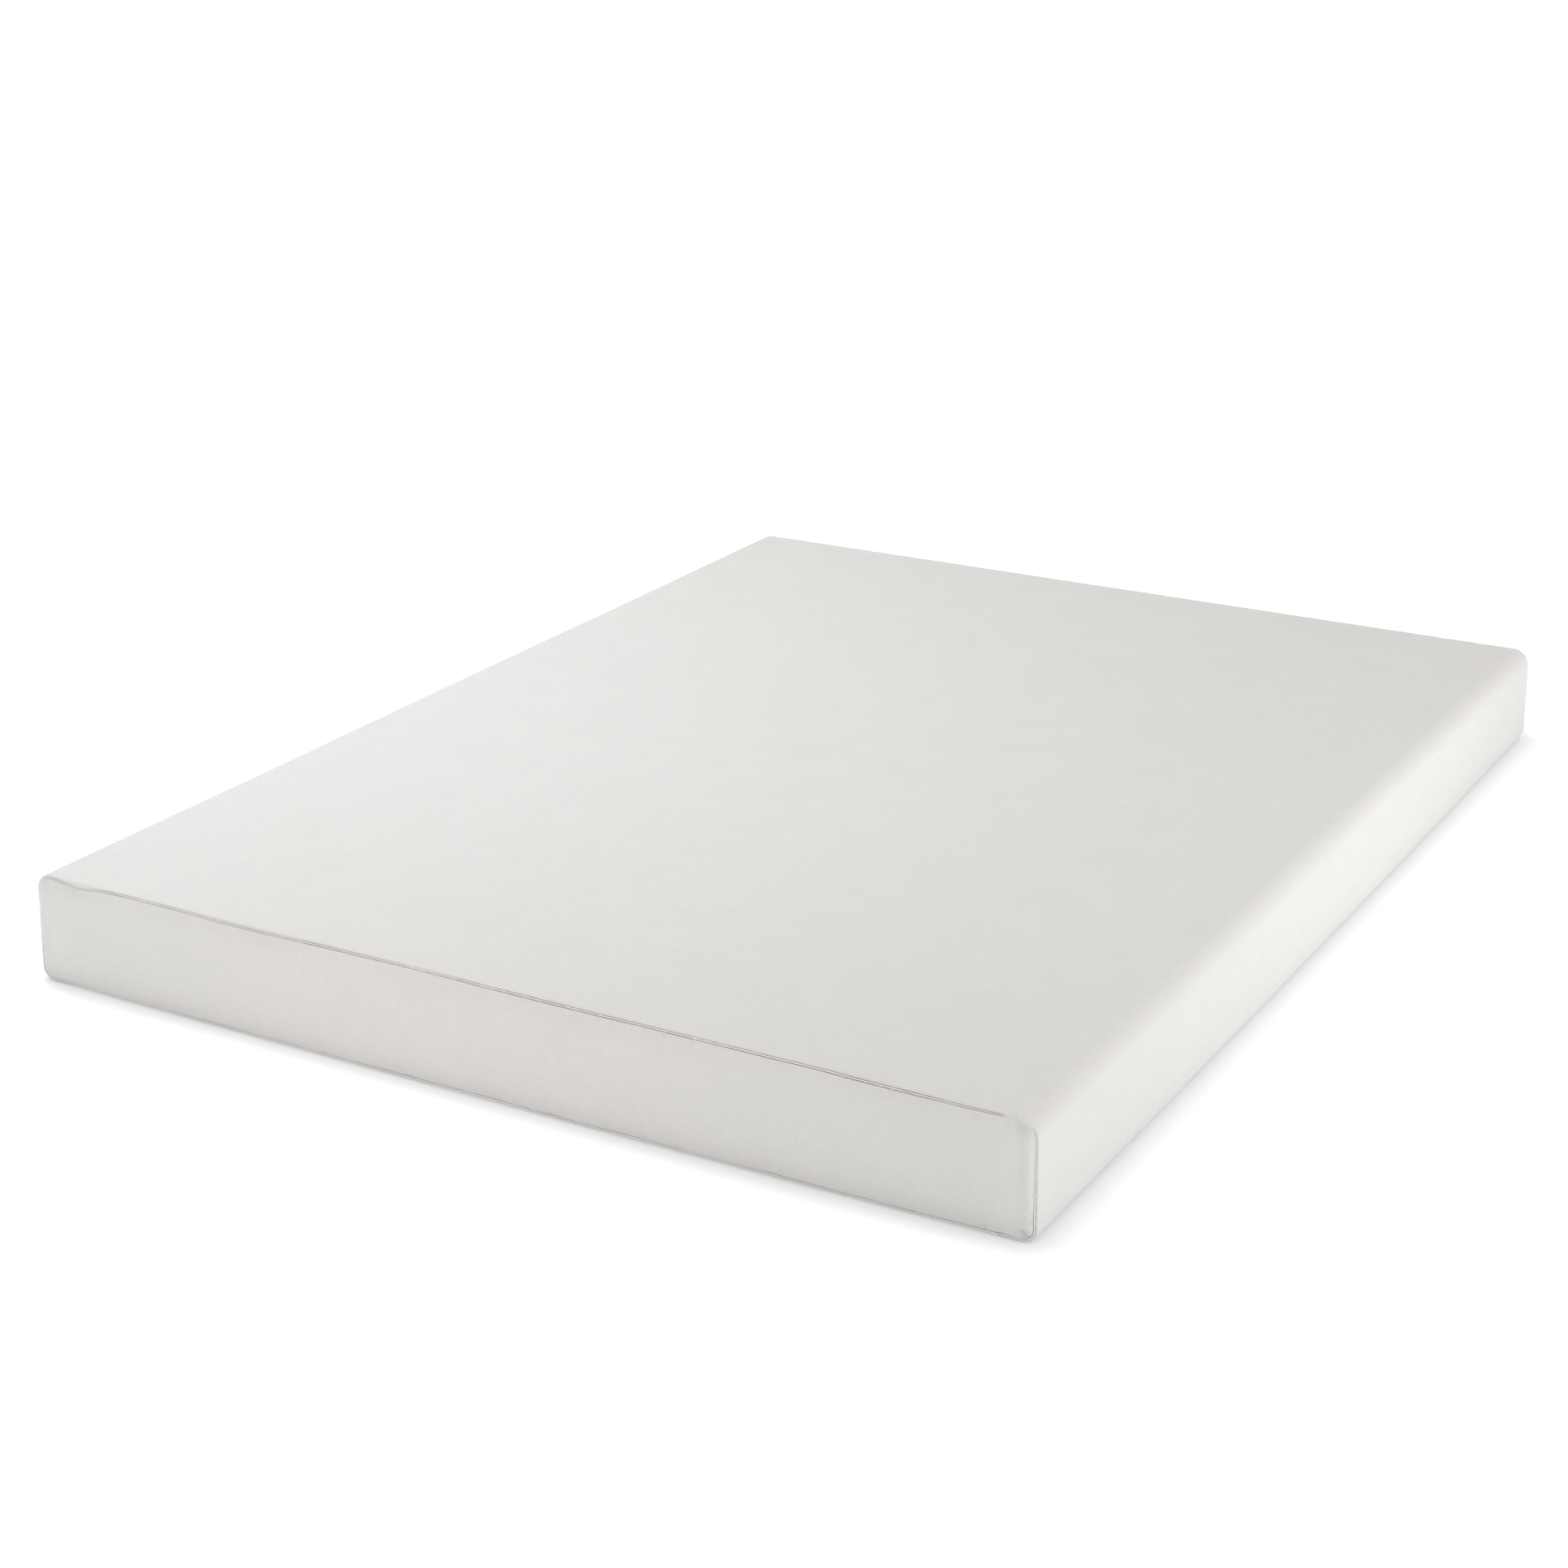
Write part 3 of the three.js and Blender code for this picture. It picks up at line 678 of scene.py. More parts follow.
def bow(z):
    """How far the cloth of the sides and the foot end stands out at a height."""
    return settings("cover").bow * (1 - (z / HEIGHT) ** 2)


def side_bow(x, y, z):
    """The same for the long sides, less towards the ends and none under the mattress."""
    inner = BOTTOM_SEAM_HIGH.x
    share = np.clip((np.abs(x) - inner) / (HALF_WIDTH - inner), 0, 1)
    return bow(z) * np.sign(x) * share * (1 - 0.6 * (y / HEAD_FACE) ** 2)


def foot_bow(x, z):
    """The same for the foot end, none at its corners."""
    return bow(z) * (1 - (x / HALF_WIDTH) ** 2)


def end_y(end, depth):
    """Y of points at a depth behind an end's outer face."""
    return end * ((FOOT_FACE if end == FOOT else HEAD_FACE) - depth)


# ---------------------------------------------------------------- meshes


def grid_mesh(name, points, cloth, flip=False):
    """A mesh from rows and columns of points, with the cloth's flat coordinates as its UV map."""
    rows, columns = points.shape[:2]
    index = np.arange(rows * columns).reshape(rows, columns)
    corners = [index[:-1, :-1], index[:-1, 1:], index[1:, 1:], index[1:, :-1]]
    if flip:
        corners.reverse()
    faces = np.stack(corners, axis=-1).reshape(-1, 4)
    mesh = bpy.data.meshes.new(name)
    mesh.from_pydata(points.reshape(-1, 3).tolist(), [], faces.tolist())
    layer = mesh.uv_layers.new(name="cloth")
    layer.data.foreach_set("uv", cloth.reshape(-1, 2)[faces.reshape(-1)].astype(np.float32).ravel())
    mesh.shade_smooth()
    return mesh


def add_object(name, mesh, slot):
    mesh.materials.clear()
    mesh.materials.append(material(slot))
    obj = bpy.data.objects.new(name, mesh)
    bpy.context.scene.collection.objects.link(obj)
    return obj


def plain_mesh(obj):
    """Replaces an object's mesh with what its modifiers make of it."""
    graph = bpy.context.evaluated_depsgraph_get()
    mesh = bpy.data.meshes.new_from_object(obj.evaluated_get(graph), depsgraph=graph)
    obj.modifiers.clear()
    obj.data = mesh
    return obj


def thickened(obj, thickness, offset=-1.0):
    """Gives a sheet its thickness, inwards unless offset says otherwise."""
    wall = obj.modifiers.new("Thickness", "SOLIDIFY")
    wall.thickness = thickness
    wall.offset = offset
    return plain_mesh(obj)


def stand_for(obj, body, slot, *nodes):
    """Puts a finished piece on its body, in place of its CAD nodes."""
    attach(obj, body)
    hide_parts(*nodes)
    return obj


# ---------------------------------------------------------------- wrap and bottom panel

WRAP_STEPS = (4, 3.5, 3, 2.75, 2.5, 2.25, 2, 1, 0.8, 0.6, 0.4, 0.2, 0)
WRAP_FLAT = (0.0015, 0.0035, 0.006, 0.010, 0.016, 0.026, 0.045)
MIDDLE_ROW = 0.078  # distance between rows away from the ends
# Distances between columns under the mattress, up the side, over the rounded edge and on the top
WRAP_COLUMNS = (0.005, 0.0018, 0.0017, 0.0033)
BOTTOM_COLUMNS = 240
SEAM_CALM = 0.03  # distance from an end seam over which the waves in the wrap come up
BOTTOM_CALM = 0.05  # the same under the mattress
BROAD_WAVE, SMALL_WAVE, BOTTOM_WAVE = 0.19, 0.075, 0.16  # distances between the waves in the cloth
EDGE_WAVE, EDGE_WAVE_HEIGHT, EDGE_WAVE_REACH = 0.12, 0.6 * MM, 0.03  # waves along the rounded top edge
WRAP_PUCKER_REACH = 0.007  # how far the seam's creases run into the wrap


def cloth_rows(outline, place):
    """Y, inset and cloth length for every row of a cloth that runs from end to end."""
    steps = np.array([*WRAP_STEPS, *(-d for d in WRAP_FLAT)])[:, None]
    ends = []
    for end in (FOOT, HEAD):
        seam = seam_shape(outline, place, end)
        depth, inset, run = wrap_edge(steps, seam)
        fading = np.exp(-np.maximum(-run, 0) / WRAP_PUCKER_REACH)
        pull = settings("cover").pucker * 0.6 * seam.crease * fading
        y = end_y(end, depth)
        ends.append((y, inset + pull, y[-1] + end * (run - run[-1])))
    foot, head = ends
    count = round((HEAD_FACE + FOOT_FACE) / MIDDLE_ROW)
    share = np.arange(1, count)[:, None] / count
    middle = foot[0][-1] + (head[0][-1] - foot[0][-1]) * share
    between = (middle, np.zeros_like(middle), middle)
    return [np.concatenate([foot[k], between[k], head[k][::-1]]) for k in range(3)]


def build_wrap():
    cover, outline = settings("cover"), cover_outline()
    half_way = outline.length / 2
    turns = (TUCK, outline.floor_end, outline.side_end, outline.top_start, half_way)
    place = np.concatenate([spaced(*part) for part in zip(turns, turns[1:], WRAP_COLUMNS)])
    place = np.concatenate([place, [half_way], outline.length - place[::-1]])
    y, inset, cloth_y = cloth_rows(outline, place)
    x, z, normal_x, normal_z = outline.at(place)
    lying = np.clip(normal_z * 2 + 1.2, 0, 1)  # the part under the mattress stays flat
    inward = np.clip((HEAD_FACE - np.abs(y)) / SEAM_CALM, 0, 1)
    whole = np.broadcast_to(place, y.shape)
    small = rumpled(whole, y + 2, SMALL_WAVE, 71)
    swell = cover.rumple * (rumpled(whole, y + 2, BROAD_WAVE, 70) + 0.5 * small)
    from_edge = np.minimum(place, outline.length - place) - outline.side_end
    rolled = np.exp(-((from_edge / EDGE_WAVE_REACH) ** 2))
    swell = swell + EDGE_WAVE_HEIGHT * rolled * wavy(y, 2.2, EDGE_WAVE, 72)
    upright = np.clip((z - cover.bottom_radius) / (HEIGHT - cover.top_radius - cover.bottom_radius), 0, 1)
    swell = swell + cover.side_bulge * np.abs(normal_x) ** 4 * np.sin(math.pi * upright)
    out = lying * inward * swell - inset
    points = np.stack([x + side_bow(x, y, z) + normal_x * out, y, z + normal_z * out], axis=-1)
    cloth = np.stack([cloth_y, whole], axis=-1)
    mesh = grid_mesh("cover_wrap_knit", points, cloth, flip=True)
    wrap = add_object("cover_wrap_knit", mesh, "cover_knit")
    thickened(wrap, CLOTH)
    stand_for(wrap, "mattress", "cover_knit", "cover_wrap")


def build_bottom_panel():
    cover, outline = settings("cover"), cover_outline()
    across = np.linspace(-BOTTOM_HIGH.x, BOTTOM_HIGH.x, BOTTOM_COLUMNS)
    place = across % outline.length
    y, inset, cloth_y = cloth_rows(outline, place)
    inward = np.clip((HEAD_FACE - np.abs(y)) / BOTTOM_CALM, 0, 1)
    whole = np.broadcast_to(across, y.shape)
    lift = 0.5 * cover.rumple * inward * (1 + rumpled(whole + 2, y + 2, BOTTOM_WAVE, 80))
    y = y - foot_bow(whole, 0) * np.clip((0.1 - FOOT_FACE - y) / 0.1, 0, 1)
    points = np.stack([whole, y, inset + lift], axis=-1)
    cloth = np.stack([whole, cloth_y], axis=-1)
    mesh = grid_mesh("bottom_panel_cloth", points, cloth, flip=True)
    panel = add_object("bottom_panel_cloth", mesh, "base_cloth")
    thickened(panel, CLOTH)
    stand_for(panel, "mattress", "base_cloth", "cover_bottom_panel")


# ---------------------------------------------------------------- how an end panel fills out

PANEL_SIM_SPACING = 0.0095
PANEL_SIM_FRAMES = 36


def simulated_fill():
    """A cloth simulation of an end panel, sewn all round to a slightly shorter edge and pressed outwards.

    Gives how far it stands out, as a share of its middle height, on a grid of rows and columns."""
    cover, scene = settings("cover"), bpy.context.scene
    columns, rows = round(2 * HALF_WIDTH / PANEL_SIM_SPACING) + 1, round(HEIGHT / PANEL_SIM_SPACING) + 1
    x, z = np.meshgrid(np.linspace(-HALF_WIDTH, HALF_WIDTH, columns), np.linspace(0, HEIGHT, rows))
    y = -0.4 * MM * np.random.default_rng(7).uniform(0, 1, x.shape)  # uneven, so that it buckles freely
    points = np.stack([x, y, z], axis=-1)
    obj = bpy.data.objects.new("panel_sim", grid_mesh("panel_sim", points, np.stack([x, z], axis=-1)))
    scene.collection.objects.link(obj)
    obj.shape_key_add(name="sewn")
    rest = obj.shape_key_add(name="cut")
    cut = np.stack([x * (1 + cover.gather), y, z * 1.0008], axis=-1)
    rest.data.foreach_set("co", cut.astype(np.float32).ravel())
    edge = (np.abs(x) > HALF_WIDTH - 0.1 * MM) | (z < 0.1 * MM) | (z > HEIGHT - 0.1 * MM)
    pins = obj.vertex_groups.new(name="sewn edge")
    pins.add([int(k) for k in np.flatnonzero(edge.ravel())], 1.0, "REPLACE")
    cloth = obj.modifiers.new("Cloth", "CLOTH").settings
    cloth.vertex_group_mass = pins.name
    cloth.rest_shape_key = rest
    cloth.quality = 8
    cloth.mass = 0.15
    cloth.air_damping = 3.0
    cloth.tension_stiffness = cloth.compression_stiffness = 30.0
    cloth.shear_stiffness = 8.0
    cloth.bending_stiffness = 0.08
    gravity, frame_now = tuple(scene.gravity), scene.frame_current
    scene.gravity = (0.0, -2.5, 0.0)
    for number in range(1, PANEL_SIM_FRAMES + 1):
        scene.frame_set(number)
    shape = obj.evaluated_get(bpy.context.evaluated_depsgraph_get()).to_mesh()
    out = np.empty(len(shape.vertices) * 3, np.float32)
    shape.vertices.foreach_get("co", out)
    out = -out.reshape(rows, columns, 3)[..., 1]
    scene.gravity = gravity
    scene.frame_set(frame_now)
    bpy.data.objects.remove(obj)
    middle = np.median(out[rows // 3:-rows // 3, 5:-5])
    return np.clip(out / max(middle, 1e-5), -0.4, 2.0)


FILL = []


def panel_fill(x, z, end):
    """How far an end panel stands out at X and Z, as a share of its middle height."""
    if not FILL:
        FILL.append(simulated_fill())
    if FILL[0] is None:
        return None
    rows, columns = FILL[0].shape
    u = np.clip((end * -x / HALF_WIDTH + 1) / 2, 0, 1) * (columns - 1)
    v = np.clip(z / HEIGHT, 0, 1) * (rows - 1)
    u0, v0 = np.minimum(u.astype(int), columns - 2), np.minimum(v.astype(int), rows - 2)
    pu, pv = u - u0, v - v0
    pu, pv = pu * pu * (3 - 2 * pu), pv * pv * (3 - 2 * pv)
    low = FILL[0][v0, u0] * (1 - pu) + FILL[0][v0, u0 + 1] * pu
    high = FILL[0][v0 + 1, u0] * (1 - pu) + FILL[0][v0 + 1, u0 + 1] * pu
    return low * (1 - pv) + high * pv


# ---------------------------------------------------------------- end panels

# Inset on the drawn rectangle for each step round a panel's edge
PANEL_INSETS = np.array([0, 0.8, 1.4, 2.0, 2.6, 3.2]) * MM
PANEL_STEPS = np.array([2, 1, 0.75, 0.5, 0.25, 0.0])
PANEL_FLAT = np.array([4.2, 5.4, 6.8, 8.6, 11.0, 13.6, 16.6, 20.0]) * MM
SETTLE = 26 * MM  # inset from which the drawn rectangle and the panel agree
EDGE_LINES = np.concatenate([PANEL_INSETS, PANEL_FLAT])
COLUMN_STEP, FOOT_ROW, UPPER_ROW, LOWER_ROW = 0.0033, 0.0027, 0.0029, 0.0022  # spacing of the grid lines
PUCKER_REACH = 0.011  # how far the seam's creases run into the panel
PILLOW_START = 0.004  # distance from the seam over which the pillow sets in
PANEL_WAVE, PANEL_WAVE_START = 0.06, 0.02  # distance between waves, and how far from the seam they set in
BOW_REACH = 0.045  # how far the bow of the long sides reaches into a panel
HEM_LINES = np.array([0.0, 0.4, 0.8, 1.2, 2.0, 3.4, 5.4]) * MM  # rows beside the zip, from the folded edge
HEM_RADIUS = 1.2 * MM
HEM_DIP, HEM_DIP_REACH = 0.35 * MM, 4 * MM  # how far the zip pulls the cloth in, and how soon that fades
ZIP_CALM = 22 * MM  # distance from the zip over which the pillow sets in


def panel_points(outline, x, z, end):
    """Points of an end panel drawn on a rectangle: X, depth, Z and the place and inset of each."""
    cover = settings("cover")
    place, drawn = outline.locate(x, z)
    seam = seam_shape(outline, place, end)
    step = np.interp(drawn, PANEL_INSETS, PANEL_STEPS)
    depth, rolled = panel_edge(step, seam)
    part = np.clip((drawn - PANEL_INSETS[-1]) / (SETTLE - PANEL_INSETS[-1]), 0, 1)
    fade = 1 - part * part * (3 - 2 * part)
    shift = seam.face_edge - PANEL_INSETS[-1]
    inset = np.where(drawn <= PANEL_INSETS[-1], rolled, drawn + shift * fade)
    base_x, base_z, normal_x, normal_z = outline.at(place)
    away = np.maximum(drawn - PANEL_INSETS[-1], 0)
    depth = depth + seam.dip * np.exp(-away / cover.dip_reach)
    depth = depth + cover.pucker * seam.crease * np.exp(-away / PUCKER_REACH)
    fill = panel_fill(x, z, end)
    if fill is None:
        fill = 1 - np.exp(-((away / cover.pillow_reach) ** 2))
    pillow = cover.pillow * fill * np.clip(away / PILLOW_START, 0, 1)
    waves = 0.7 * (1 - np.exp(-away / PANEL_WAVE_START)) * rumpled(x + 3, z + 3, PANEL_WAVE, 90 + end)
    pillow = pillow + cover.rumple * waves
    shift_x = side_bow(base_x, end * HEAD_FACE, base_z) * np.clip(1 - drawn / BOW_REACH, 0, 1)
    return base_x + shift_x - normal_x * inset, depth, pillow, base_z - normal_z * inset


def grid_lines(low, high, edge, step):
    """Grid lines from low to high: close together along both edges and even between them."""
    between = spaced(low + edge[-1], high - edge[-1], step)[1:]
    return np.concatenate([low + edge, between, high - edge[::-1]])


def build_foot_panel():
    outline = cover_outline()
    up = grid_lines(0.0, HEIGHT, EDGE_LINES, FOOT_ROW)
    x, z = np.meshgrid(grid_lines(-HALF_WIDTH, HALF_WIDTH, EDGE_LINES, COLUMN_STEP), up)
    px, depth, pillow, pz = panel_points(outline, x, z, FOOT)
    y = end_y(FOOT, depth - pillow) - foot_bow(px, pz)
    points = np.stack([px, y, pz], axis=-1)
    mesh = grid_mesh("foot_panel_knit", points, np.stack([x, z], axis=-1))
    panel = add_object("foot_panel_knit", mesh, "cover_knit")
    thickened(panel, CLOTH)
    stand_for(panel, "mattress", "cover_knit", "cover_foot_panel")


def slot_edge(x, side):
    """Height of a head panel's edge at the zip: back from the slot's edge within the slot's length."""
    reach = ZIP_HEIGHT + side * (HEAD_SLOT - ZIP_HEIGHT)
    join = ZIP_HEIGHT + side * (ZIP_JOIN - ZIP_HEIGHT)
    part = np.clip((SLOT_HALF - np.abs(x)) / (1.5 * MM) + 0.5, 0, 1)
    return join + (reach - join) * part


def zip_calmed(pillow, rise):
    """A head panel's pillow, held down close to the zip."""
    return pillow * (1 - np.exp(-((rise / ZIP_CALM) ** 2)))


def build_head_panel(name, node, side):
    """The head end's cloth on one side of the zip. side is 1 above it and -1 below it."""
    if side > 0:
        limit, edge, step = HEIGHT - HEAD_SLOT, EDGE_LINES, UPPER_ROW
    else:
        limit, edge, step = 2 * ZIP_HEIGHT - HEAD_SLOT, EDGE_LINES[EDGE_LINES < 15 * MM], LOWER_ROW
    far = (limit - edge)[::-1]
    rows = np.concatenate([HEM_LINES, spaced(HEM_LINES[-1], far[0], step)[1:], far])
    x, rise = np.meshgrid(grid_lines(-HALF_WIDTH, HALF_WIDTH, EDGE_LINES, COLUMN_STEP), rows)
    start = slot_edge(x, side)
    full = slot_edge(0.0, side)
    # Rows near the zip follow the cloth's edge, and the far rows stay level.
    follow = np.clip(1 - rise / limit, 0, 1) ** 3
    z = full + side * rise + (start - full) * follow
    px, depth, pillow, pz = panel_points(cover_outline(), x, z, HEAD)
    curl = np.clip(1 - rise / HEM_RADIUS, 0, 1) * QUARTER
    depth = depth + HEM_RADIUS * (1 - np.cos(curl)) + HEM_DIP * np.exp(-rise / HEM_DIP_REACH)
    pillow = zip_calmed(pillow, rise)
    points = np.stack([px, end_y(HEAD, depth - pillow), pz], axis=-1)
    mesh = grid_mesh(name, points, np.stack([x, z], axis=-1), flip=side > 0)
    panel = add_object(name, mesh, "cover_knit")
    thickened(panel, CLOTH)
    stand_for(panel, "mattress", "cover_knit", node)


# ---------------------------------------------------------------- geometry node trees for sewing and zip

GEOMETRY, MATERIAL_SOCKET = "NodeSocketGeometry", "NodeSocketMaterial"
RUNNING_STITCH = "Running Stitch"


def run_tree(obj, tree, values):
    """Puts a tree on an object, sets its inputs and leaves a plain mesh."""
    modifier = obj.modifiers.new(tree.name, "NODES")
    modifier.node_group = tree
    sockets = {s.name: s.identifier for s in tree.interface.items_tree if s.in_out == "INPUT"}
    for name, value in values.items():
        modifier[sockets[name]] = value
    return plain_mesh(obj)


def facing(nodes):
    """The rotation whose Z follows the path and whose X looks outwards."""
    tangent = nodes.add("GeometryNodeInputTangent").outputs[0]
    outward = nodes.add("GeometryNodeInputNamedAttribute", {"Name": "outward"}, data_type="FLOAT_VECTOR")
    return nodes.add(
        "FunctionNodeAxesToRotation",
        {"Primary Axis": tangent, "Secondary Axis": outward.outputs["Attribute"]},
        primary_axis="Z",
        secondary_axis="X",
    ).outputs[0]


def close_tree(nodes, out, geometry, finish):
    """Ends a tree with Realize Instances and Set Material."""
    real = nodes.add("GeometryNodeRealizeInstances", {0: geometry}).outputs[0]
    smooth = nodes.add("GeometryNodeSetShadeSmooth", {"Geometry": real}).outputs[0]
    done = nodes.add("GeometryNodeSetMaterial", {"Geometry": smooth, "Material": finish}).outputs[0]
    nodes.tree.links.new(done, out["Geometry"])


def overlock_tree():
    """A bead along a path, with a thread over it at each pitch."""
    tree, nodes, given, out = node_group(
        "GeometryNodeTree",
        "Overlocked Seam",
        [
            (GEOMETRY, "Geometry", None),
            (FLOAT, "Bead Radius", 0.001),
            (FLOAT, "Thread Radius", 0.0002),
            (FLOAT, "Pitch", 0.003),
            (FLOAT, "Slant", 0.5),
            (FLOAT, "Reach", 0.0011),
            (MATERIAL_SOCKET, "Material", None),
        ],
        [(GEOMETRY, "Geometry")],
    )
    path = nodes.add("GeometryNodeMeshToCurve", {"Mesh": given["Geometry"]}).outputs[0]
    around = {"Resolution": 8, "Radius": given["Bead Radius"]}
    section = nodes.add("GeometryNodeCurvePrimitiveCircle", around).outputs[0]
    bead = nodes.add(
        "GeometryNodeCurveToMesh",
        {"Curve": path, "Profile Curve": section, "Fill Caps": True},
    ).outputs[0]
    points = nodes.add("GeometryNodeResampleCurve", {"Curve": path, "Length": given["Pitch"]}, mode="LENGTH")
    arc = nodes.add(
        "GeometryNodeCurveArc",
        {
            "Resolution": 7,
            "Radius": given["Reach"],
            "Start Angle": -1.45,
            "Sweep Angle": 2.9,
        },
    ).outputs[0]
    yarn = nodes.add("GeometryNodeCurvePrimitiveCircle", {"Resolution": 5, "Radius": given["Thread Radius"]})
    stitch = nodes.add(
        "GeometryNodeCurveToMesh",
        {"Curve": arc, "Profile Curve": yarn.outputs[0], "Fill Caps": True},
    ).outputs[0]
    tilt = nodes.add("ShaderNodeCombineXYZ", {"X": given["Slant"]}).outputs[0]
    turned = nodes.add(
        "FunctionNodeRotateRotation",
        {"Rotation": facing(nodes), "Rotate By": tilt},
        rotation_space="LOCAL",
    ).outputs[0]
    copies = nodes.add(
        "GeometryNodeInstanceOnPoints",
        {"Points": points.outputs[0], "Instance": stitch, "Rotation": turned},
    ).outputs[0]
    both = nodes.add("GeometryNodeJoinGeometry")
    nodes.tree.links.new(bead, both.inputs[0])
    nodes.tree.links.new(copies, both.inputs[0])
    close_tree(nodes, out, both.outputs[0], given["Material"])
    return tree


def running_tree():
    """Running stitches along a path: low arches of thread that go into the cloth at both ends."""
    tree, nodes, given, out = node_group(
        "GeometryNodeTree",
        RUNNING_STITCH,
        [
            (GEOMETRY, "Geometry", None),
            (FLOAT, "Thread Radius", 0.0002),
            (FLOAT, "Stitch", 0.003),
            (FLOAT, "Pitch", 0.004),
            (MATERIAL_SOCKET, "Material", None),
        ],
        [(GEOMETRY, "Geometry")],
    )
    path = nodes.add("GeometryNodeMeshToCurve", {"Mesh": given["Geometry"]}).outputs[0]
    points = nodes.add("GeometryNodeResampleCurve", {"Curve": path, "Length": given["Pitch"]}, mode="LENGTH")
    half = nodes.math("MULTIPLY", given["Stitch"], 0.5)
    under = nodes.math("MULTIPLY", given["Thread Radius"], -1.6)
    over = nodes.math("MULTIPLY", given["Thread Radius"], 2.6)
    before = nodes.math("MULTIPLY", half, -1.0)
    start = nodes.add("ShaderNodeCombineXYZ", {"X": under, "Z": before}).outputs[0]
    stop = nodes.add("ShaderNodeCombineXYZ", {"X": under, "Z": half}).outputs[0]
    top = nodes.add("ShaderNodeCombineXYZ", {"X": over}).outputs[0]
    arch = nodes.add(
        "GeometryNodeCurveQuadraticBezier",
        {"Resolution": 6, "Start": start, "Middle": top, "End": stop},
    ).outputs[0]
    yarn = nodes.add("GeometryNodeCurvePrimitiveCircle", {"Resolution": 6, "Radius": given["Thread Radius"]})
    stitch = nodes.add(
        "GeometryNodeCurveToMesh",
        {"Curve": arch, "Profile Curve": yarn.outputs[0], "Fill Caps": True},
    ).outputs[0]
    copies = nodes.add(
        "GeometryNodeInstanceOnPoints",
        {"Points": points.outputs[0], "Instance": stitch, "Rotation": facing(nodes)},
    ).outputs[0]
    close_tree(nodes, out, copies, given["Material"])
    return tree


def coil_tree():
    """The turns of a zip coil along a path: flattened rings of wire, each leaning along the path."""
    tree, nodes, given, out = node_group(
        "GeometryNodeTree",
        "Zip Coil",
        [
            (GEOMETRY, "Geometry", None),
            (FLOAT, "Wire Radius", 0.0003),
            (FLOAT, "Pitch", 0.0013),
            (FLOAT, "Width", 0.0026),
            (FLOAT, "Thickness", 0.002),
            (FLOAT, "Lean", 0.12),
            (MATERIAL_SOCKET, "Material", None),
        ],
        [(GEOMETRY, "Geometry")],
    )
    path = nodes.add("GeometryNodeMeshToCurve", {"Mesh": given["Geometry"]}).outputs[0]
    points = nodes.add("GeometryNodeResampleCurve", {"Curve": path, "Length": given["Pitch"]}, mode="LENGTH")
    ring = nodes.add("GeometryNodeCurvePrimitiveCircle", {"Resolution": 8, "Radius": 0.5}).outputs[0]
    twice = nodes.math("MULTIPLY", given["Wire Radius"], -2.0)
    size = nodes.add(
        "ShaderNodeCombineXYZ",
        {
            "X": nodes.math("ADD", given["Thickness"], twice),
            "Y": nodes.math("ADD", given["Width"], twice),
            "Z": 1.0,
        },
    ).outputs[0]
    flat_ring = nodes.add("GeometryNodeTransform", {"Geometry": ring, "Scale": size}).outputs[0]
    wire = nodes.add("GeometryNodeCurvePrimitiveCircle", {"Resolution": 5, "Radius": given["Wire Radius"]})
    turn = nodes.add(
        "GeometryNodeCurveToMesh", {"Curve": flat_ring, "Profile Curve": wire.outputs[0]}
    ).outputs[0]
    tilt = nodes.add("ShaderNodeCombineXYZ", {"X": given["Lean"]}).outputs[0]
    turned = nodes.add(
        "FunctionNodeRotateRotation",
        {"Rotation": facing(nodes), "Rotate By": tilt},
        rotation_space="LOCAL",
    ).outputs[0]
    copies = nodes.add(
        "GeometryNodeInstanceOnPoints",
        {"Points": points.outputs[0], "Instance": turn, "Rotation": turned},
    ).outputs[0]
    close_tree(nodes, out, copies, given["Material"])
    return tree


def path_object(name, points, outward, closed=False):
    """A line of edges with the direction that faces out of the cloth at each point."""
    count = len(points)
    edges = [(i, i + 1) for i in range(count - 1)]
    if closed:
        edges.append((count - 1, 0))
    mesh = bpy.data.meshes.new(name)
    mesh.from_pydata([tuple(p) for p in points], edges, [])
    attribute = mesh.attributes.new("outward", "FLOAT_VECTOR", "POINT")
    attribute.data.foreach_set("vector", np.asarray(outward, np.float32).ravel())
    obj = bpy.data.objects.new(name, mesh)
    bpy.context.scene.collection.objects.link(obj)
    return obj


def stitched(name, line, outward, radius=None):
    """A line of running stitches along points, facing outward."""
    seams = settings("seams")
    tree = bpy.data.node_groups.get(RUNNING_STITCH) or running_tree()
    values = {
        "Thread Radius": radius or seams.thread,
        "Stitch": seams.stitch,
        "Pitch": seams.stitch_pitch,
        "Material": material("seam_thread"),
    }
    obj = path_object(name, line, np.tile(outward, (len(line), 1)))
    run_tree(obj, tree, values)
    return obj


# ---------------------------------------------------------------- seams

SEAM_STEP = 0.0028  # distance between points of an end seam's path
# The steps of wrap_edge at which the bottom seam's ends turn up
TURN_UP_STEPS = (3.0, 2.6, 2.3, 2.0, 1.0, 0.75, 0.5, 0.25, 0.0, -0.002, -0.006)
STRIP_ROWS, STRIP_SIDES = 400, 12
STRIP_HALF, STRIP_DEPTH = 0.8 * MM, 1.0 * MM  # half the strip's thickness, and how deep its middle lies
BOTTOM_THREAD = 0.18 * MM


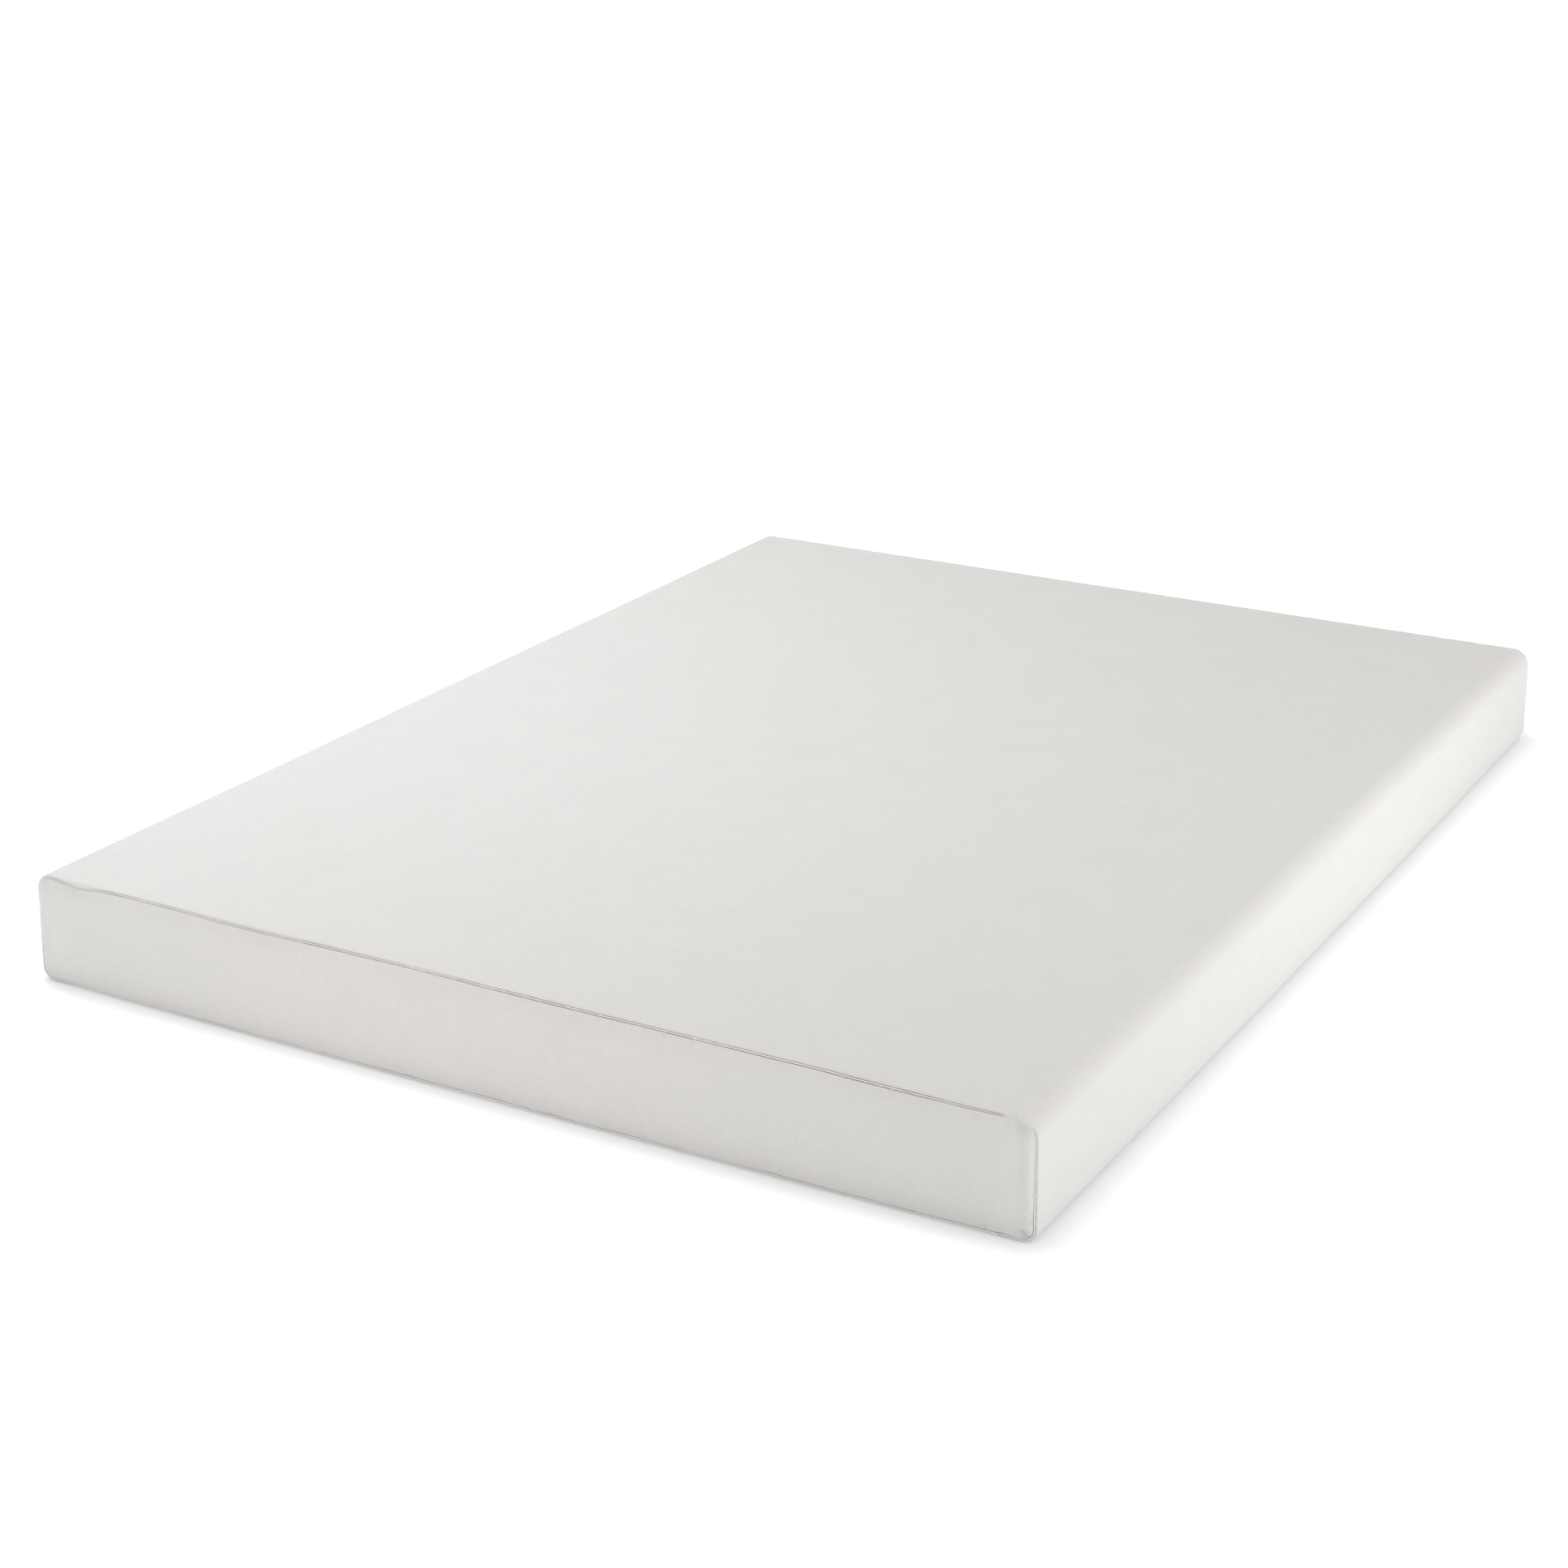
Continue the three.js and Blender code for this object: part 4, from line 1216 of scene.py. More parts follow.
def build_end_seam(name, node, end, tree):
    """The turned, overlocked edge that lies in the groove round one end."""
    seams, outline = settings("seams"), cover_outline()
    place = np.arange(0, outline.length, SEAM_STEP)
    seam = seam_shape(outline, place, end)
    x, z, normal_x, normal_z = outline.at(place)
    seed = 20 if end == FOOT else 50
    show = 0.5 + 0.5 * wavy(place, outline.length, 0.16, seed)
    upper = np.clip((z / HEIGHT - 0.2) / 0.7, 0, 1)
    near_corner = np.exp(-(((HALF_WIDTH - np.abs(x)) / 0.10) ** 2)) * upper
    proud = (0.9 + 0.8 * show - 1.3 * near_corner) * MM  # how far the bead stands out of the groove
    depth = seam.roll + seam.back / 2 + seam.dip / 2 - proud * np.sin(seam.turn)
    inset = (seam.corner + seam.drop + seam.face_edge) / 2 - proud * np.cos(seam.turn)
    y = end_y(end, depth)
    if end == FOOT:
        y = y - foot_bow(x, z)
    points = np.stack([x + side_bow(x, y, z) - normal_x * inset, y, z - normal_z * inset], axis=-1)
    outward = np.stack(
        [normal_x * np.cos(seam.turn), end * np.sin(seam.turn), normal_z * np.cos(seam.turn)], axis=-1
    )
    obj = path_object(name, points, outward, closed=True)
    run_tree(
        obj,
        tree,
        {
            "Bead Radius": seams.bead,
            "Thread Radius": seams.thread,
            "Pitch": seams.wrap_pitch,
            "Reach": seams.bead + 0.6 * seams.thread,
            "Slant": 0.5,
            "Material": material("seam_thread"),
        },
    )
    stand_for(obj, "mattress", "seam_thread", node)


def turned_up_line(x):
    """Y and Z of the underside's cloth from end to end at one X, with both ends turned up into the seams."""
    steps = np.array(TURN_UP_STEPS)[:, None]
    ends = []
    for end in (FOOT, HEAD):
        depth, inset, _ = wrap_edge(steps, seam_shape(cover_outline(), np.array([x]), end))
        y = end_y(end, depth)[:, 0]
        if end == FOOT:
            y = y - foot_bow(x, 0)
        ends.append((y, inset[:, 0]))
    (foot_y, foot_z), (head_y, head_z) = ends
    middle = np.linspace(foot_y[-1], head_y[-1], STRIP_ROWS)[1:-1]
    y = np.concatenate([foot_y, middle, head_y[::-1]])
    z = np.concatenate([foot_z, np.zeros_like(middle), head_z[::-1]])
    return y, z


def softened(values):
    """Sines or cosines pushed outwards, so that a circle becomes a rounded square."""
    return np.sign(values) * np.abs(values) ** 0.5


def build_bottom_seam(name, node):
    """The flat seam between the wrap's turned-under edge and the bottom panel."""
    low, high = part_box(node)
    middle, half = (low.x + high.x) / 2, (high.x - low.x) / 2
    y, z = turned_up_line(middle)
    along_y, along_z = np.gradient(y), np.gradient(z)
    run = np.hypot(along_y, along_z)
    outward_y, outward_z = along_z / run, -along_y / run
    angles = np.linspace(0, 2 * math.pi, STRIP_SIDES + 1)[:-1]
    across = half * softened(np.cos(angles))
    rise = STRIP_HALF * softened(np.sin(angles)) - STRIP_DEPTH
    points = [
        (middle + dx, y[k] + outward_y[k] * dz, z[k] + outward_z[k] * dz)
        for k in range(len(y))
        for dx, dz in zip(across, rise)
    ]
    index = np.arange(len(points)).reshape(len(y), STRIP_SIDES)
    beside = np.roll(index, -1, axis=1)
    faces = np.stack([index[:-1], beside[:-1], beside[1:], index[1:]], axis=-1).reshape(-1, 4).tolist()
    faces += [index[0, ::-1].tolist(), index[-1].tolist()]
    strip = bpy.data.meshes.new(name + "_strip")
    strip.from_pydata(points, [], faces)
    parts = [outward_faces(add_object(name + "_strip", strip, "seam_thread"))]
    line_y = np.linspace(low.y + 8 * MM, high.y - 8 * MM, 700)
    for shift in (-0.5 * half, 0.5 * half):
        line_x, line_z = (np.full_like(line_y, value) for value in (middle + shift, 0.45 * MM))
        line = np.stack([line_x, line_y, line_z], axis=-1)
        parts.append(stitched(f"{name}_thread", line, (0.0, 0.0, -1.0), BOTTOM_THREAD))
    stand_for(joined(parts, name), "mattress", "seam_thread", node)


def joined(parts, name):
    """Several finished objects as one."""
    whole = bmesh.new()
    slots = []
    for part in parts:
        whole.from_mesh(part.data)
        slots = slots or list(part.data.materials)
    mesh = bpy.data.meshes.new(name)
    whole.to_mesh(mesh)
    whole.free()
    for finish in slots:
        mesh.materials.append(finish)
    mesh.shade_smooth()
    for part in parts:
        bpy.data.objects.remove(part)
    obj = bpy.data.objects.new(name, mesh)
    bpy.context.scene.collection.objects.link(obj)
    return obj


def outward_faces(obj):
    """Turns every face of a closed mesh outwards."""
    work = bmesh.new()
    work.from_mesh(obj.data)
    bmesh.ops.remove_doubles(work, verts=work.verts, dist=1e-7)
    bmesh.ops.recalc_face_normals(work, faces=work.faces)
    work.to_mesh(obj.data)
    work.free()
    return obj


# ---------------------------------------------------------------- zip

HEM_STITCH = 3.6 * MM  # from the slot's edge to the line of stitches beside it
TAPE_COLUMNS, TAPE_ROWS = 480, 12
COIL_OVERLAP = 0.25 * MM  # how far each half's turns reach past the centre line
COIL_LEAN = 0.12
SHARP = math.radians(35)  # edges of metal pieces that turn by more than this are rounded
SMOOTH = math.radians(50)  # the rest are shaded smooth up to this


def build_tape(name, node, side):
    """One woven tape, leaning back a little towards the coil."""
    low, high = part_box(node)
    thickness = high.y - low.y
    x, z = np.meshgrid(np.linspace(low.x, high.x, TAPE_COLUMNS), np.linspace(low.z, high.z, TAPE_ROWS))
    inner = (z - low.z) / (high.z - low.z) if side > 0 else (high.z - z) / (high.z - low.z)
    y = high.y + 0.08 * MM * rumpled(x + 3, z + 3, 0.03, 95) - 0.10 * MM * inner
    mesh = grid_mesh(name, np.stack([x, y, z], axis=-1), np.stack([x, z], axis=-1), flip=True)
    tape = add_object(name, mesh, "zip_tape")
    thickened(tape, thickness - 0.15 * MM)
    stand_for(tape, "mattress", "zip_tape", node)


def build_coil(name, node, side, tree):
    """One half of the coil. Its turns reach past the centre line, between the other half's turns."""
    zipper = settings("zip")
    low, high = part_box(node)
    inner, outer = (ZIP_HEIGHT - side * COIL_OVERLAP), (high.z if side > 0 else low.z)
    middle = (inner + outer) / 2
    shift = 0 if side > 0 else zipper.pitch / 2
    x = np.array([low.x + 0.5 * MM + shift, high.x - 0.5 * MM])
    y = (low.y + high.y) / 2
    points = [(value, y, middle) for value in x]
    obj = path_object(name, points, [(0, 1, 0)] * 2)
    run_tree(
        obj,
        tree,
        {
            "Wire Radius": zipper.wire,
            "Pitch": zipper.pitch,
            "Width": abs(outer - inner),
            "Thickness": high.y - low.y,
            "Lean": COIL_LEAN,
            "Material": material("zip_coil"),
        },
    )
    stand_for(obj, "mattress", "zip_coil", node)


def solid_from(outline, start, end, axis):
    """A closed bmesh from an outline of 2D points, extruded along Y or Z."""
    work = bmesh.new()
    place = (lambda p, d: (p[0], d, p[1])) if axis == "Y" else (lambda p, d: (p[0], p[1], d))
    rings = [[work.verts.new(place(p, d)) for p in outline] for d in (start, end)]
    count = len(outline)
    for i in range(count):
        j = (i + 1) % count
        work.faces.new((rings[0][i], rings[0][j], rings[1][j], rings[1][i]))
    work.faces.new(rings[0][::-1])
    work.faces.new(rings[1])
    bmesh.ops.recalc_face_normals(work, faces=work.faces)
    return work


def bevelled(work, name, width, segments=2):
    """An object from a bmesh with its sharp edges rounded."""
    sharp = [e for e in work.edges if len(e.link_faces) == 2 and e.calc_face_angle() > SHARP]
    bmesh.ops.bevel(
        work, geom=sharp, offset=width, segments=segments, affect="EDGES", profile=0.5, clamp_overlap=True
    )
    mesh = bpy.data.meshes.new(name)
    work.to_mesh(mesh)
    work.free()
    mesh.shade_smooth()
    return add_object(name, mesh, "zip_metal")


def combined(first, others, operation, name):
    """One closed solid from the first object and the others, added to it or cut out of it."""
    for other in others:
        step = first.modifiers.new("Combine", "BOOLEAN")
        step.operation = operation
        step.solver = "EXACT"
        step.object = other
    plain_mesh(first)
    for other in others:
        bpy.data.objects.remove(other)
    first.name = first.data.name = name
    first.data.shade_smooth()
    first.data.set_sharp_from_angle(angle=SMOOTH)
    return first


def build_stop(name, node):
    """A crimped metal stop: a small block with a pressed waist."""
    low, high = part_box(node)
    middle, half = (low.x + high.x) / 2, (high.x - low.x) / 2
    rise = (high.z - low.z) / 2
    waist = 0.78  # width at the middle as a share of the full width
    outline = [
        (middle + half * (waist + (1 - waist) * t * t), ZIP_HEIGHT + rise * t)
        for t in np.linspace(-1, 1, 9).tolist()
    ]
    outline += [(2 * middle - x, z) for x, z in reversed(outline)]
    stop = bevelled(solid_from(outline, low.y, high.y, "Y"), name, 1.6 * settings("zip").bevel, 3)
    stand_for(stop, "mattress", "zip_metal", node)


def cut_corners(points):
    """Cuts the corners of a closed outline, so that it reads as a cast shape."""
    cut = []
    for (ax, ay), (bx, by) in zip(points, points[1:] + points[:1]):
        cut.append((ax * 0.75 + bx * 0.25, ay * 0.75 + by * 0.25))
        cut.append((ax * 0.25 + bx * 0.75, ay * 0.25 + by * 0.75))
    return cut


def rectangle(x_low, x_high, z_low, z_high):
    return [(x_low, z_low), (x_high, z_low), (x_high, z_high), (x_low, z_high)]


PLATE = 1.2 * MM
PLATE_CORNER = 1.2 * MM
BACK_PLATE = 1.0 * MM
FLANGE = 1.0 * MM
WEDGE_START, WEDGE_END, WEDGE_HALF = 0.3 * MM, 4 * MM, 0.3 * MM
BRIDGE_HALF_WIDTH = 0.9 * MM
BRIDGE_WALL = 1.0 * MM
BRIDGE_HALF_LENGTH = 4.5 * MM


def build_slider():
    """The slider: front plate, back plate, two flanges, the wedge between the coils and the tab's bridge."""
    zipper = settings("zip")
    low, high = SLIDER_LOW, SLIDER_HIGH
    middle, half = (low.x + high.x) / 2, (high.x - low.x) / 2
    wide = (high.z - low.z) / 2
    waist = wide - 0.5 * FLANGE
    plate_top = HEAD_FACE + 0.3 * MM + PLATE
    plate_middle = plate_top - PLATE / 2
    corner = PLATE_CORNER
    shape = [
        (half, -wide + corner),
        (half, wide - corner),
        (half - corner, wide),
        (0, wide),
        (-half + corner, waist),
        (-half, waist - corner),
        (-half, -waist + corner),
        (-half + corner, -waist),
        (0, -wide),
        (half - corner, -wide),
    ]
    shape = [(middle + x, ZIP_HEIGHT + z) for x, z in cut_corners(shape)]
    plate = bevelled(solid_from(shape, plate_top - PLATE, plate_top, "Y"), "slider_plate", zipper.bevel, 3)
    back_half, back_wide = half - 0.05 * MM, wide - FLANGE
    quarters = ((-1, -0.8), (-0.85, -1), (0.85, -1), (1, -0.8), (1, 0.8), (0.85, 1), (-0.85, 1), (-1, 0.8))
    back = [(middle + x * back_half, ZIP_HEIGHT + z * back_wide) for x, z in quarters]
    parts = [bevelled(solid_from(back, low.y, low.y + BACK_PLATE, "Y"), "slider_back", zipper.bevel, 2)]
    for side in (-1, 1):
        rim = sorted((ZIP_HEIGHT + side * back_wide, ZIP_HEIGHT + side * wide * 0.995))
        box = rectangle(middle, middle + half - corner, *rim)
        flange = solid_from(box, TAPE_HIGH.y + 0.3 * MM, plate_middle, "Y")
        parts.append(bevelled(flange, f"slider_flange_{side}", 0.6 * zipper.bevel, 2))
    nose = middle - half
    post = rectangle(nose + WEDGE_START, nose + WEDGE_END, ZIP_HEIGHT - WEDGE_HALF, ZIP_HEIGHT + WEDGE_HALF)
    wedge = solid_from(post, low.y + BACK_PLATE / 2, plate_middle, "Y")
    parts.append(bevelled(wedge, "slider_wedge", 0.3 * zipper.bevel, 1))
    parts.append(bevelled(bridge_solid(middle, plate_middle, high.y), "slider_bridge", zipper.bevel, 2))
    slider = combined(plate, parts, "UNION", "zip_slider_body")
    stand_for(slider, "zip_slider", "zip_metal", "zip_slider")


def bridge_solid(middle, foot, crown):
    """The arch that holds the pull tab, drawn in X and Y."""
    shoulder = 0.45  # 1 gives a half circle; less gives straight legs with round shoulders
    outer, inner = [], []
    for k in range(9):
        angle = math.pi * k / 8
        bend = math.copysign(abs(math.cos(angle)) ** shoulder, math.cos(angle))
        rise = abs(math.sin(angle)) ** shoulder
        for line, wall in ((outer, 0.0), (inner, BRIDGE_WALL)):
            line.append((middle + (BRIDGE_HALF_LENGTH - wall) * bend, foot + (crown - wall - foot) * rise))
    outline = outer + inner[::-1]
    return solid_from(outline, ZIP_HEIGHT - BRIDGE_HALF_WIDTH, ZIP_HEIGHT + BRIDGE_HALF_WIDTH, "Z")


def ring_outline(count, x, z, across, high):
    """A closed ellipse of points about X and Z."""
    turns = (2 * math.pi * k / count for k in range(count))
    return [(x + across * math.cos(turn), z + high * math.sin(turn)) for turn in turns]


def build_tab():
    """The pull tab: an eye round the bridge, a tapered grip with a pressed hollow, and a round hole."""
    zipper = settings("zip")
    low, high = TAB_LOW, TAB_HIGH
    thickness, pivot = high.y - low.y, (SLIDER_LOW.x + SLIDER_HIGH.x) / 2
    tip_radius = (high.z - low.z) / 2
    side = BRIDGE_HALF_WIDTH + 1.5 * MM
    bar, shoulder = thickness / 2, 7.9 * MM
    tip_centre = low.x + tip_radius
    tip = [
        (tip_centre + tip_radius * math.cos(a), tip_radius * math.sin(a))
        for a in np.linspace(QUARTER, 3 * QUARTER, 15)
    ]
    shape = [
        (pivot + bar, -side * 0.8),
        (pivot + bar, side * 0.8),
        (pivot + 0.2 * bar, side),
        (pivot - shoulder, side),
        *tip,
        (pivot - shoulder, -side),
        (pivot + 0.2 * bar, -side),
    ]
    shape = [(x, ZIP_HEIGHT + z) for x, z in shape]
    body = bevelled(solid_from(shape, low.y, high.y, "Y"), "tab_plate", 1.2 * zipper.bevel, 3)
    eye_half = BRIDGE_HALF_WIDTH + 0.4 * MM
    eye_end = shoulder - 1.1 * MM
    eye = rectangle(pivot - eye_end, pivot - bar, ZIP_HEIGHT - eye_half, ZIP_HEIGHT + eye_half)
    hole = ring_outline(20, tip_centre, ZIP_HEIGHT, 1.1 * MM, 1.1 * MM)
    cutters = [
        bevelled(solid_from(cut, low.y - thickness, high.y + thickness, "Y"), name, width, segments)
        for cut, name, width, segments in ((eye, "tab_eye", 0.5 * MM, 3), (hole, "tab_hole", 0.02 * MM, 1))
    ]
    grip_centre = (tip_centre + pivot - shoulder) / 2 + 0.6 * MM
    grip = ring_outline(28, grip_centre, ZIP_HEIGHT, 4.6 * MM, 1.35 * MM)
    hollow_depth = 0.22 * MM
    for face in (low.y, high.y):
        hollow = solid_from(grip, face - hollow_depth, face + hollow_depth, "Y")
        cutters.append(bevelled(hollow, "tab_grip", 0.1 * MM, 2))
    body = combined(body, cutters, "DIFFERENCE", "zip_pull_tab_body")
    stand_for(body, "zip_pull", "zip_metal", "zip_pull_tab")


def build_hem_stitches():
    """Two lines of stitches that hold the head panels to the zip tapes."""
    depth = HEM_DIP * math.exp(-HEM_STITCH / HEM_DIP_REACH) - 0.12 * MM
    x = np.linspace(TAPE_LOW.x + 2 * MM, TAPE_HIGH.x - 2 * MM, 500)
    y = np.full_like(x, HEAD_FACE - depth)
    rows = []
    for side in (1, -1):
        height = ZIP_HEIGHT + side * (HEAD_SLOT - ZIP_HEIGHT + HEM_STITCH)
        line = np.stack([x, y, np.full_like(x, height)], axis=-1)
        rows.append(stitched(f"hem_line_{side}", line, (0.0, 1.0, 0.0)))
    obj = joined(rows, "zip_hem_stitches")
    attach(obj, "mattress")


LABEL_COLUMNS, LABEL_ROWS = 41, 47
LABEL_INSET = 3.0 * MM  # from the top of the label's box to its sewn edge
LABEL_LIFT = 0.45 * MM  # from the panel's cloth to the label
LABEL_FOLD = HEIGHT - 9 * MM  # height above which the label turns into the seam


def head_face_y(x, z):
    """Y of the upper head panel's cloth at points away from the zip and below the label's fold."""
    z = np.minimum(z, LABEL_FOLD)
    _, depth, pillow, _ = panel_points(cover_outline(), x, z, HEAD)
    return end_y(HEAD, depth - zip_calmed(pillow, z - HEAD_SLOT))


def build_label():
    """A blank law label sewn in below the upper seam, with its lower corners curling off the cloth."""
    low, high = LABEL_LOW, LABEL_HIGH
    top = high.z - LABEL_INSET
    x, z = np.meshgrid(np.linspace(low.x, high.x, LABEL_COLUMNS), np.linspace(low.z, top, LABEL_ROWS))
    across = (x - low.x) / (high.x - low.x)
    fall = (top - z) / (top - low.z)
    y = head_face_y(x, z) + LABEL_LIFT
    y = y - 1.6 * MM * np.clip((z - LABEL_FOLD) / (6 * MM), 0, 1) ** 2
    corner = fall**3 * (np.abs(across - 0.5) * 2) ** 3
    y = y + 1.1 * MM * corner + 0.5 * MM * fall**2 + 0.15 * MM * np.sin(across * 9) * fall
    mesh = grid_mesh("law_label_blank", np.stack([x, y, z], axis=-1), np.stack([x, z], axis=-1), flip=True)
    label = add_object("law_label_blank", mesh, "label_cloth")
    thickened(label, high.y - low.y)
    stand_for(label, "mattress", "label_cloth", "law_label")
    line_x = np.linspace(low.x + 2 * MM, high.x - 2 * MM, 30)
    line_z = np.full_like(line_x, top - 5 * MM)
    line_y = head_face_y(line_x, line_z) + LABEL_LIFT + 0.1 * MM
    line = np.stack([line_x, line_y, line_z], axis=-1)
    stitches = stitched("label_stitches", line, (0.0, 1.0, 0.0))
    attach(stitches, "mattress")


# ---------------------------------------------------------------- fire sock and foam

SOCK_CLOTH = 0.8 * MM
SOCK_COLUMN = 0.006
CLOSURE_EDGE = np.array([0.0, 0.8, 2.0, 3.6, 5.6, 8.0, 11.0, 14.5]) * MM
SLAB_FLAT, SLAB_UPRIGHT = 0.022, 0.012  # distances between columns on the flats and up the sides
SAW_PITCH = 0.022  # distance between the foam saw's waves
THIN = 5 * MM  # a layer thinner than this is a film, without saw waves


def core_outline(half, low, high):
    """The outline of something inside the cover: the same roundings, less by how far in it lies."""
    cover, inset = settings("cover"), HALF_WIDTH - half
    return Outline(half, low, high, cover.top_radius - inset, cover.bottom_radius - inset)


def closed_round(points, cloth, length):
    """The grid with its first column again at the end, one length of cloth further on."""
    last = cloth[:, :1] + np.array([length, 0])
    return np.concatenate([points, points[:, :1]], axis=1), np.concatenate([cloth, last], axis=1)


def rounded_rows(start, stop, radius, steps=6, middle=0.09):
    """Y and inset of rows along a body whose two ends are rounded."""
    angles = np.linspace(0, QUARTER, steps)
    near_y = start + radius * (1 - np.sin(angles))
    near_inset = radius * (1 - np.cos(angles))
    inner = spaced(start + radius, stop - radius, middle)[1:]
    y = np.concatenate([near_y[::-1], inner, (start + stop - near_y)])
    inset = np.concatenate([near_inset[::-1], np.zeros_like(inner), near_inset])
    return y, inset


def build_sleeve():
    """The sock's tube round the foam, turned in a little at both ends."""
    outline = core_outline(SOCK_HIGH.x, SOCK_LOW.z, SOCK_HIGH.z)
    place = spaced(0, outline.length, SOCK_COLUMN)
    x, z, normal_x, normal_z = outline.at(place)
    y, pull = rounded_rows(SOCK_LOW.y, SOCK_HIGH.y, settings("core").end_radius)
    whole_place, whole_y = np.meshgrid(place, y)
    loose = 0.12 * MM * rumpled(whole_place, whole_y + 2, 0.05, 96)
    out = loose - pull[:, None]
    points = np.stack([x + normal_x * out, whole_y, z + normal_z * out], axis=-1)
    cloth = np.stack([whole_place, whole_y], axis=-1)
    points, cloth = closed_round(points, cloth, outline.length)
    mesh = grid_mesh("fire_sock_sleeve_knit", points, cloth, flip=True)
    merge_doubles(mesh)
    sleeve = add_object("fire_sock_sleeve_knit", mesh, "fire_sock")
    thickened(sleeve, SOCK_CLOTH)
    stand_for(sleeve, "mattress", "fire_sock", "fire_sock_sleeve")


def merge_doubles(mesh):
    work = bmesh.new()
    work.from_mesh(mesh)
    bmesh.ops.remove_doubles(work, verts=work.verts, dist=1e-7)
    work.to_mesh(mesh)
    work.free()


def build_closure(name, node, end):
    """One end of the sock, sewn to the sleeve, its edge turned over the foam's rounded edge."""
    low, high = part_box(node)
    outline = core_outline(high.x, low.z, high.z)
    across = grid_lines(-high.x, high.x, CLOSURE_EDGE, 0.01)
    up = grid_lines(low.z, high.z, CLOSURE_EDGE, 0.008)
    x, z = np.meshgrid(across, up)
    place, drawn = outline.locate(x, z)
    radius = settings("core").end_radius
    turn = np.clip(1 - drawn / (radius * 0.8), 0, 1)
    depth = radius * (1 - np.cos(QUARTER * turn)) * 0.75
    pull = radius * 0.4 * turn
    base_x, base_z, normal_x, normal_z = outline.at(place)
    into = drawn + pull
    face = high.y if end == HEAD else low.y
    y = face - end * depth + end * 0.1 * MM * rumpled(x + 3, z + 3, 0.05, 97)
    points = np.stack([base_x - normal_x * into, y, base_z - normal_z * into], axis=-1)
    mesh = grid_mesh(name, points, np.stack([x, z], axis=-1), flip=end == HEAD)
    closure = add_object(name, mesh, "fire_sock")
    thickened(closure, SOCK_CLOTH)
    stand_for(closure, "mattress", "fire_sock", node)


def build_slab(name, node, slot, seed, row=0.03):
    """A foam layer, or the film between them: the part of the core's section between two heights."""
    core = settings("core")
    low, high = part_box(node)
    thick = high.z - low.z
    outline = core_outline(high.x, low.z, high.z)
    rim = min(2.0 * MM, 0.3 * thick)  # rounding where the section is cut flat
    is_top, is_bottom = CORE_TOP - high.z < MM, low.z - CORE_BOTTOM < MM
    top, bottom = (outline.top if is_top else rim), (outline.bottom if is_bottom else rim)
    outline = Outline(high.x, low.z, high.z, top, bottom)
    half_way = outline.length / 2
    turns = (0, outline.floor_end, outline.side_start, outline.side_end, outline.top_start, half_way)
    columns = (SLAB_FLAT, max(bottom / 6, 0.1 * MM), SLAB_UPRIGHT, max(top / 7, 0.1 * MM), SLAB_FLAT)
    half_round = np.concatenate([spaced(*part) for part in zip(turns, turns[1:], columns)])
    place = np.concatenate([half_round, [half_way], (outline.length - half_round[1:])[::-1]])
    x, z, normal_x, normal_z = outline.at(place)
    y, pull = rounded_rows(low.y, high.y, core.end_radius, steps=7, middle=row)
    whole_place, whole_y = np.meshgrid(place, y)
    waves = 0.4 * np.sin(whole_y * 2 * math.pi / SAW_PITCH) - 1
    waves = waves + rumpled(whole_place, whole_y + 2, 0.07, seed)
    saw = core.saw_wave * waves * (thick > THIN)
    # Towards the ends the section shrinks to its join with the other layer.
    join = low.z if is_top else high.z
    shrink_x = 1 - pull[:, None] / high.x
    shrink_z = 1 - pull[:, None] / thick * (thick > THIN)
    section_x, section_z = x + normal_x * saw, z + normal_z * saw
    points = np.stack([section_x * shrink_x, whole_y, join + (section_z - join) * shrink_z], axis=-1)
    cloth = np.stack([whole_place, whole_y], axis=-1)
    points, cloth = closed_round(points, cloth, outline.length)
    mesh = grid_mesh(name, points, cloth, flip=True)
    work = bmesh.new()
    work.from_mesh(mesh)
    bmesh.ops.remove_doubles(work, verts=work.verts, dist=1e-7)
    open_edges = [e for e in work.edges if e.is_boundary]
    bmesh.ops.holes_fill(work, edges=open_edges, sides=0)
    bmesh.ops.recalc_face_normals(work, faces=work.faces)
    bmesh.ops.triangulate(work, faces=[f for f in work.faces if len(f.verts) > 4])
    work.to_mesh(mesh)
    work.free()
    mesh.shade_smooth()
    slab = add_object(name, mesh, slot)
    stand_for(slab, "mattress", slot, node)
    return slab


# ---------------------------------------------------------------- studio

CAMERA_PLACE = (1.9844, -3.781, 1.6881)
CAMERA_TURN = 29.384  # degrees left of straight ahead
CAMERA_TILT = 17.255  # degrees down
CAMERA_ROLL = 0.072  # degrees anticlockwise
CAMERA_LENS, CAMERA_SENSOR = 66.60, 36.0  # millimetres
CAMERA_SHIFT = (0.001, -0.101)
FLOOR_REACH = 60.0
WHITE, COOL, WARM = (1.0, 1.0, 1.0), (0.87, 0.96, 1.0), (1.0, 0.79, 0.76)
SKY = (1.0, 0.972, 0.955)


def area_light(name, place, target, size, watts, rgb):
    light = bpy.data.lights.new(name, "AREA")
    light.shape = "SQUARE"
    light.size = size
    light.energy = watts
    light.color = rgb
    obj = bpy.data.objects.new(name, light)
    obj.location = place
    obj.rotation_euler = (Vector(target) - Vector(place)).to_track_quat("-Z", "Y").to_euler()
    obj.visible_camera = False
    bpy.context.scene.collection.objects.link(obj)


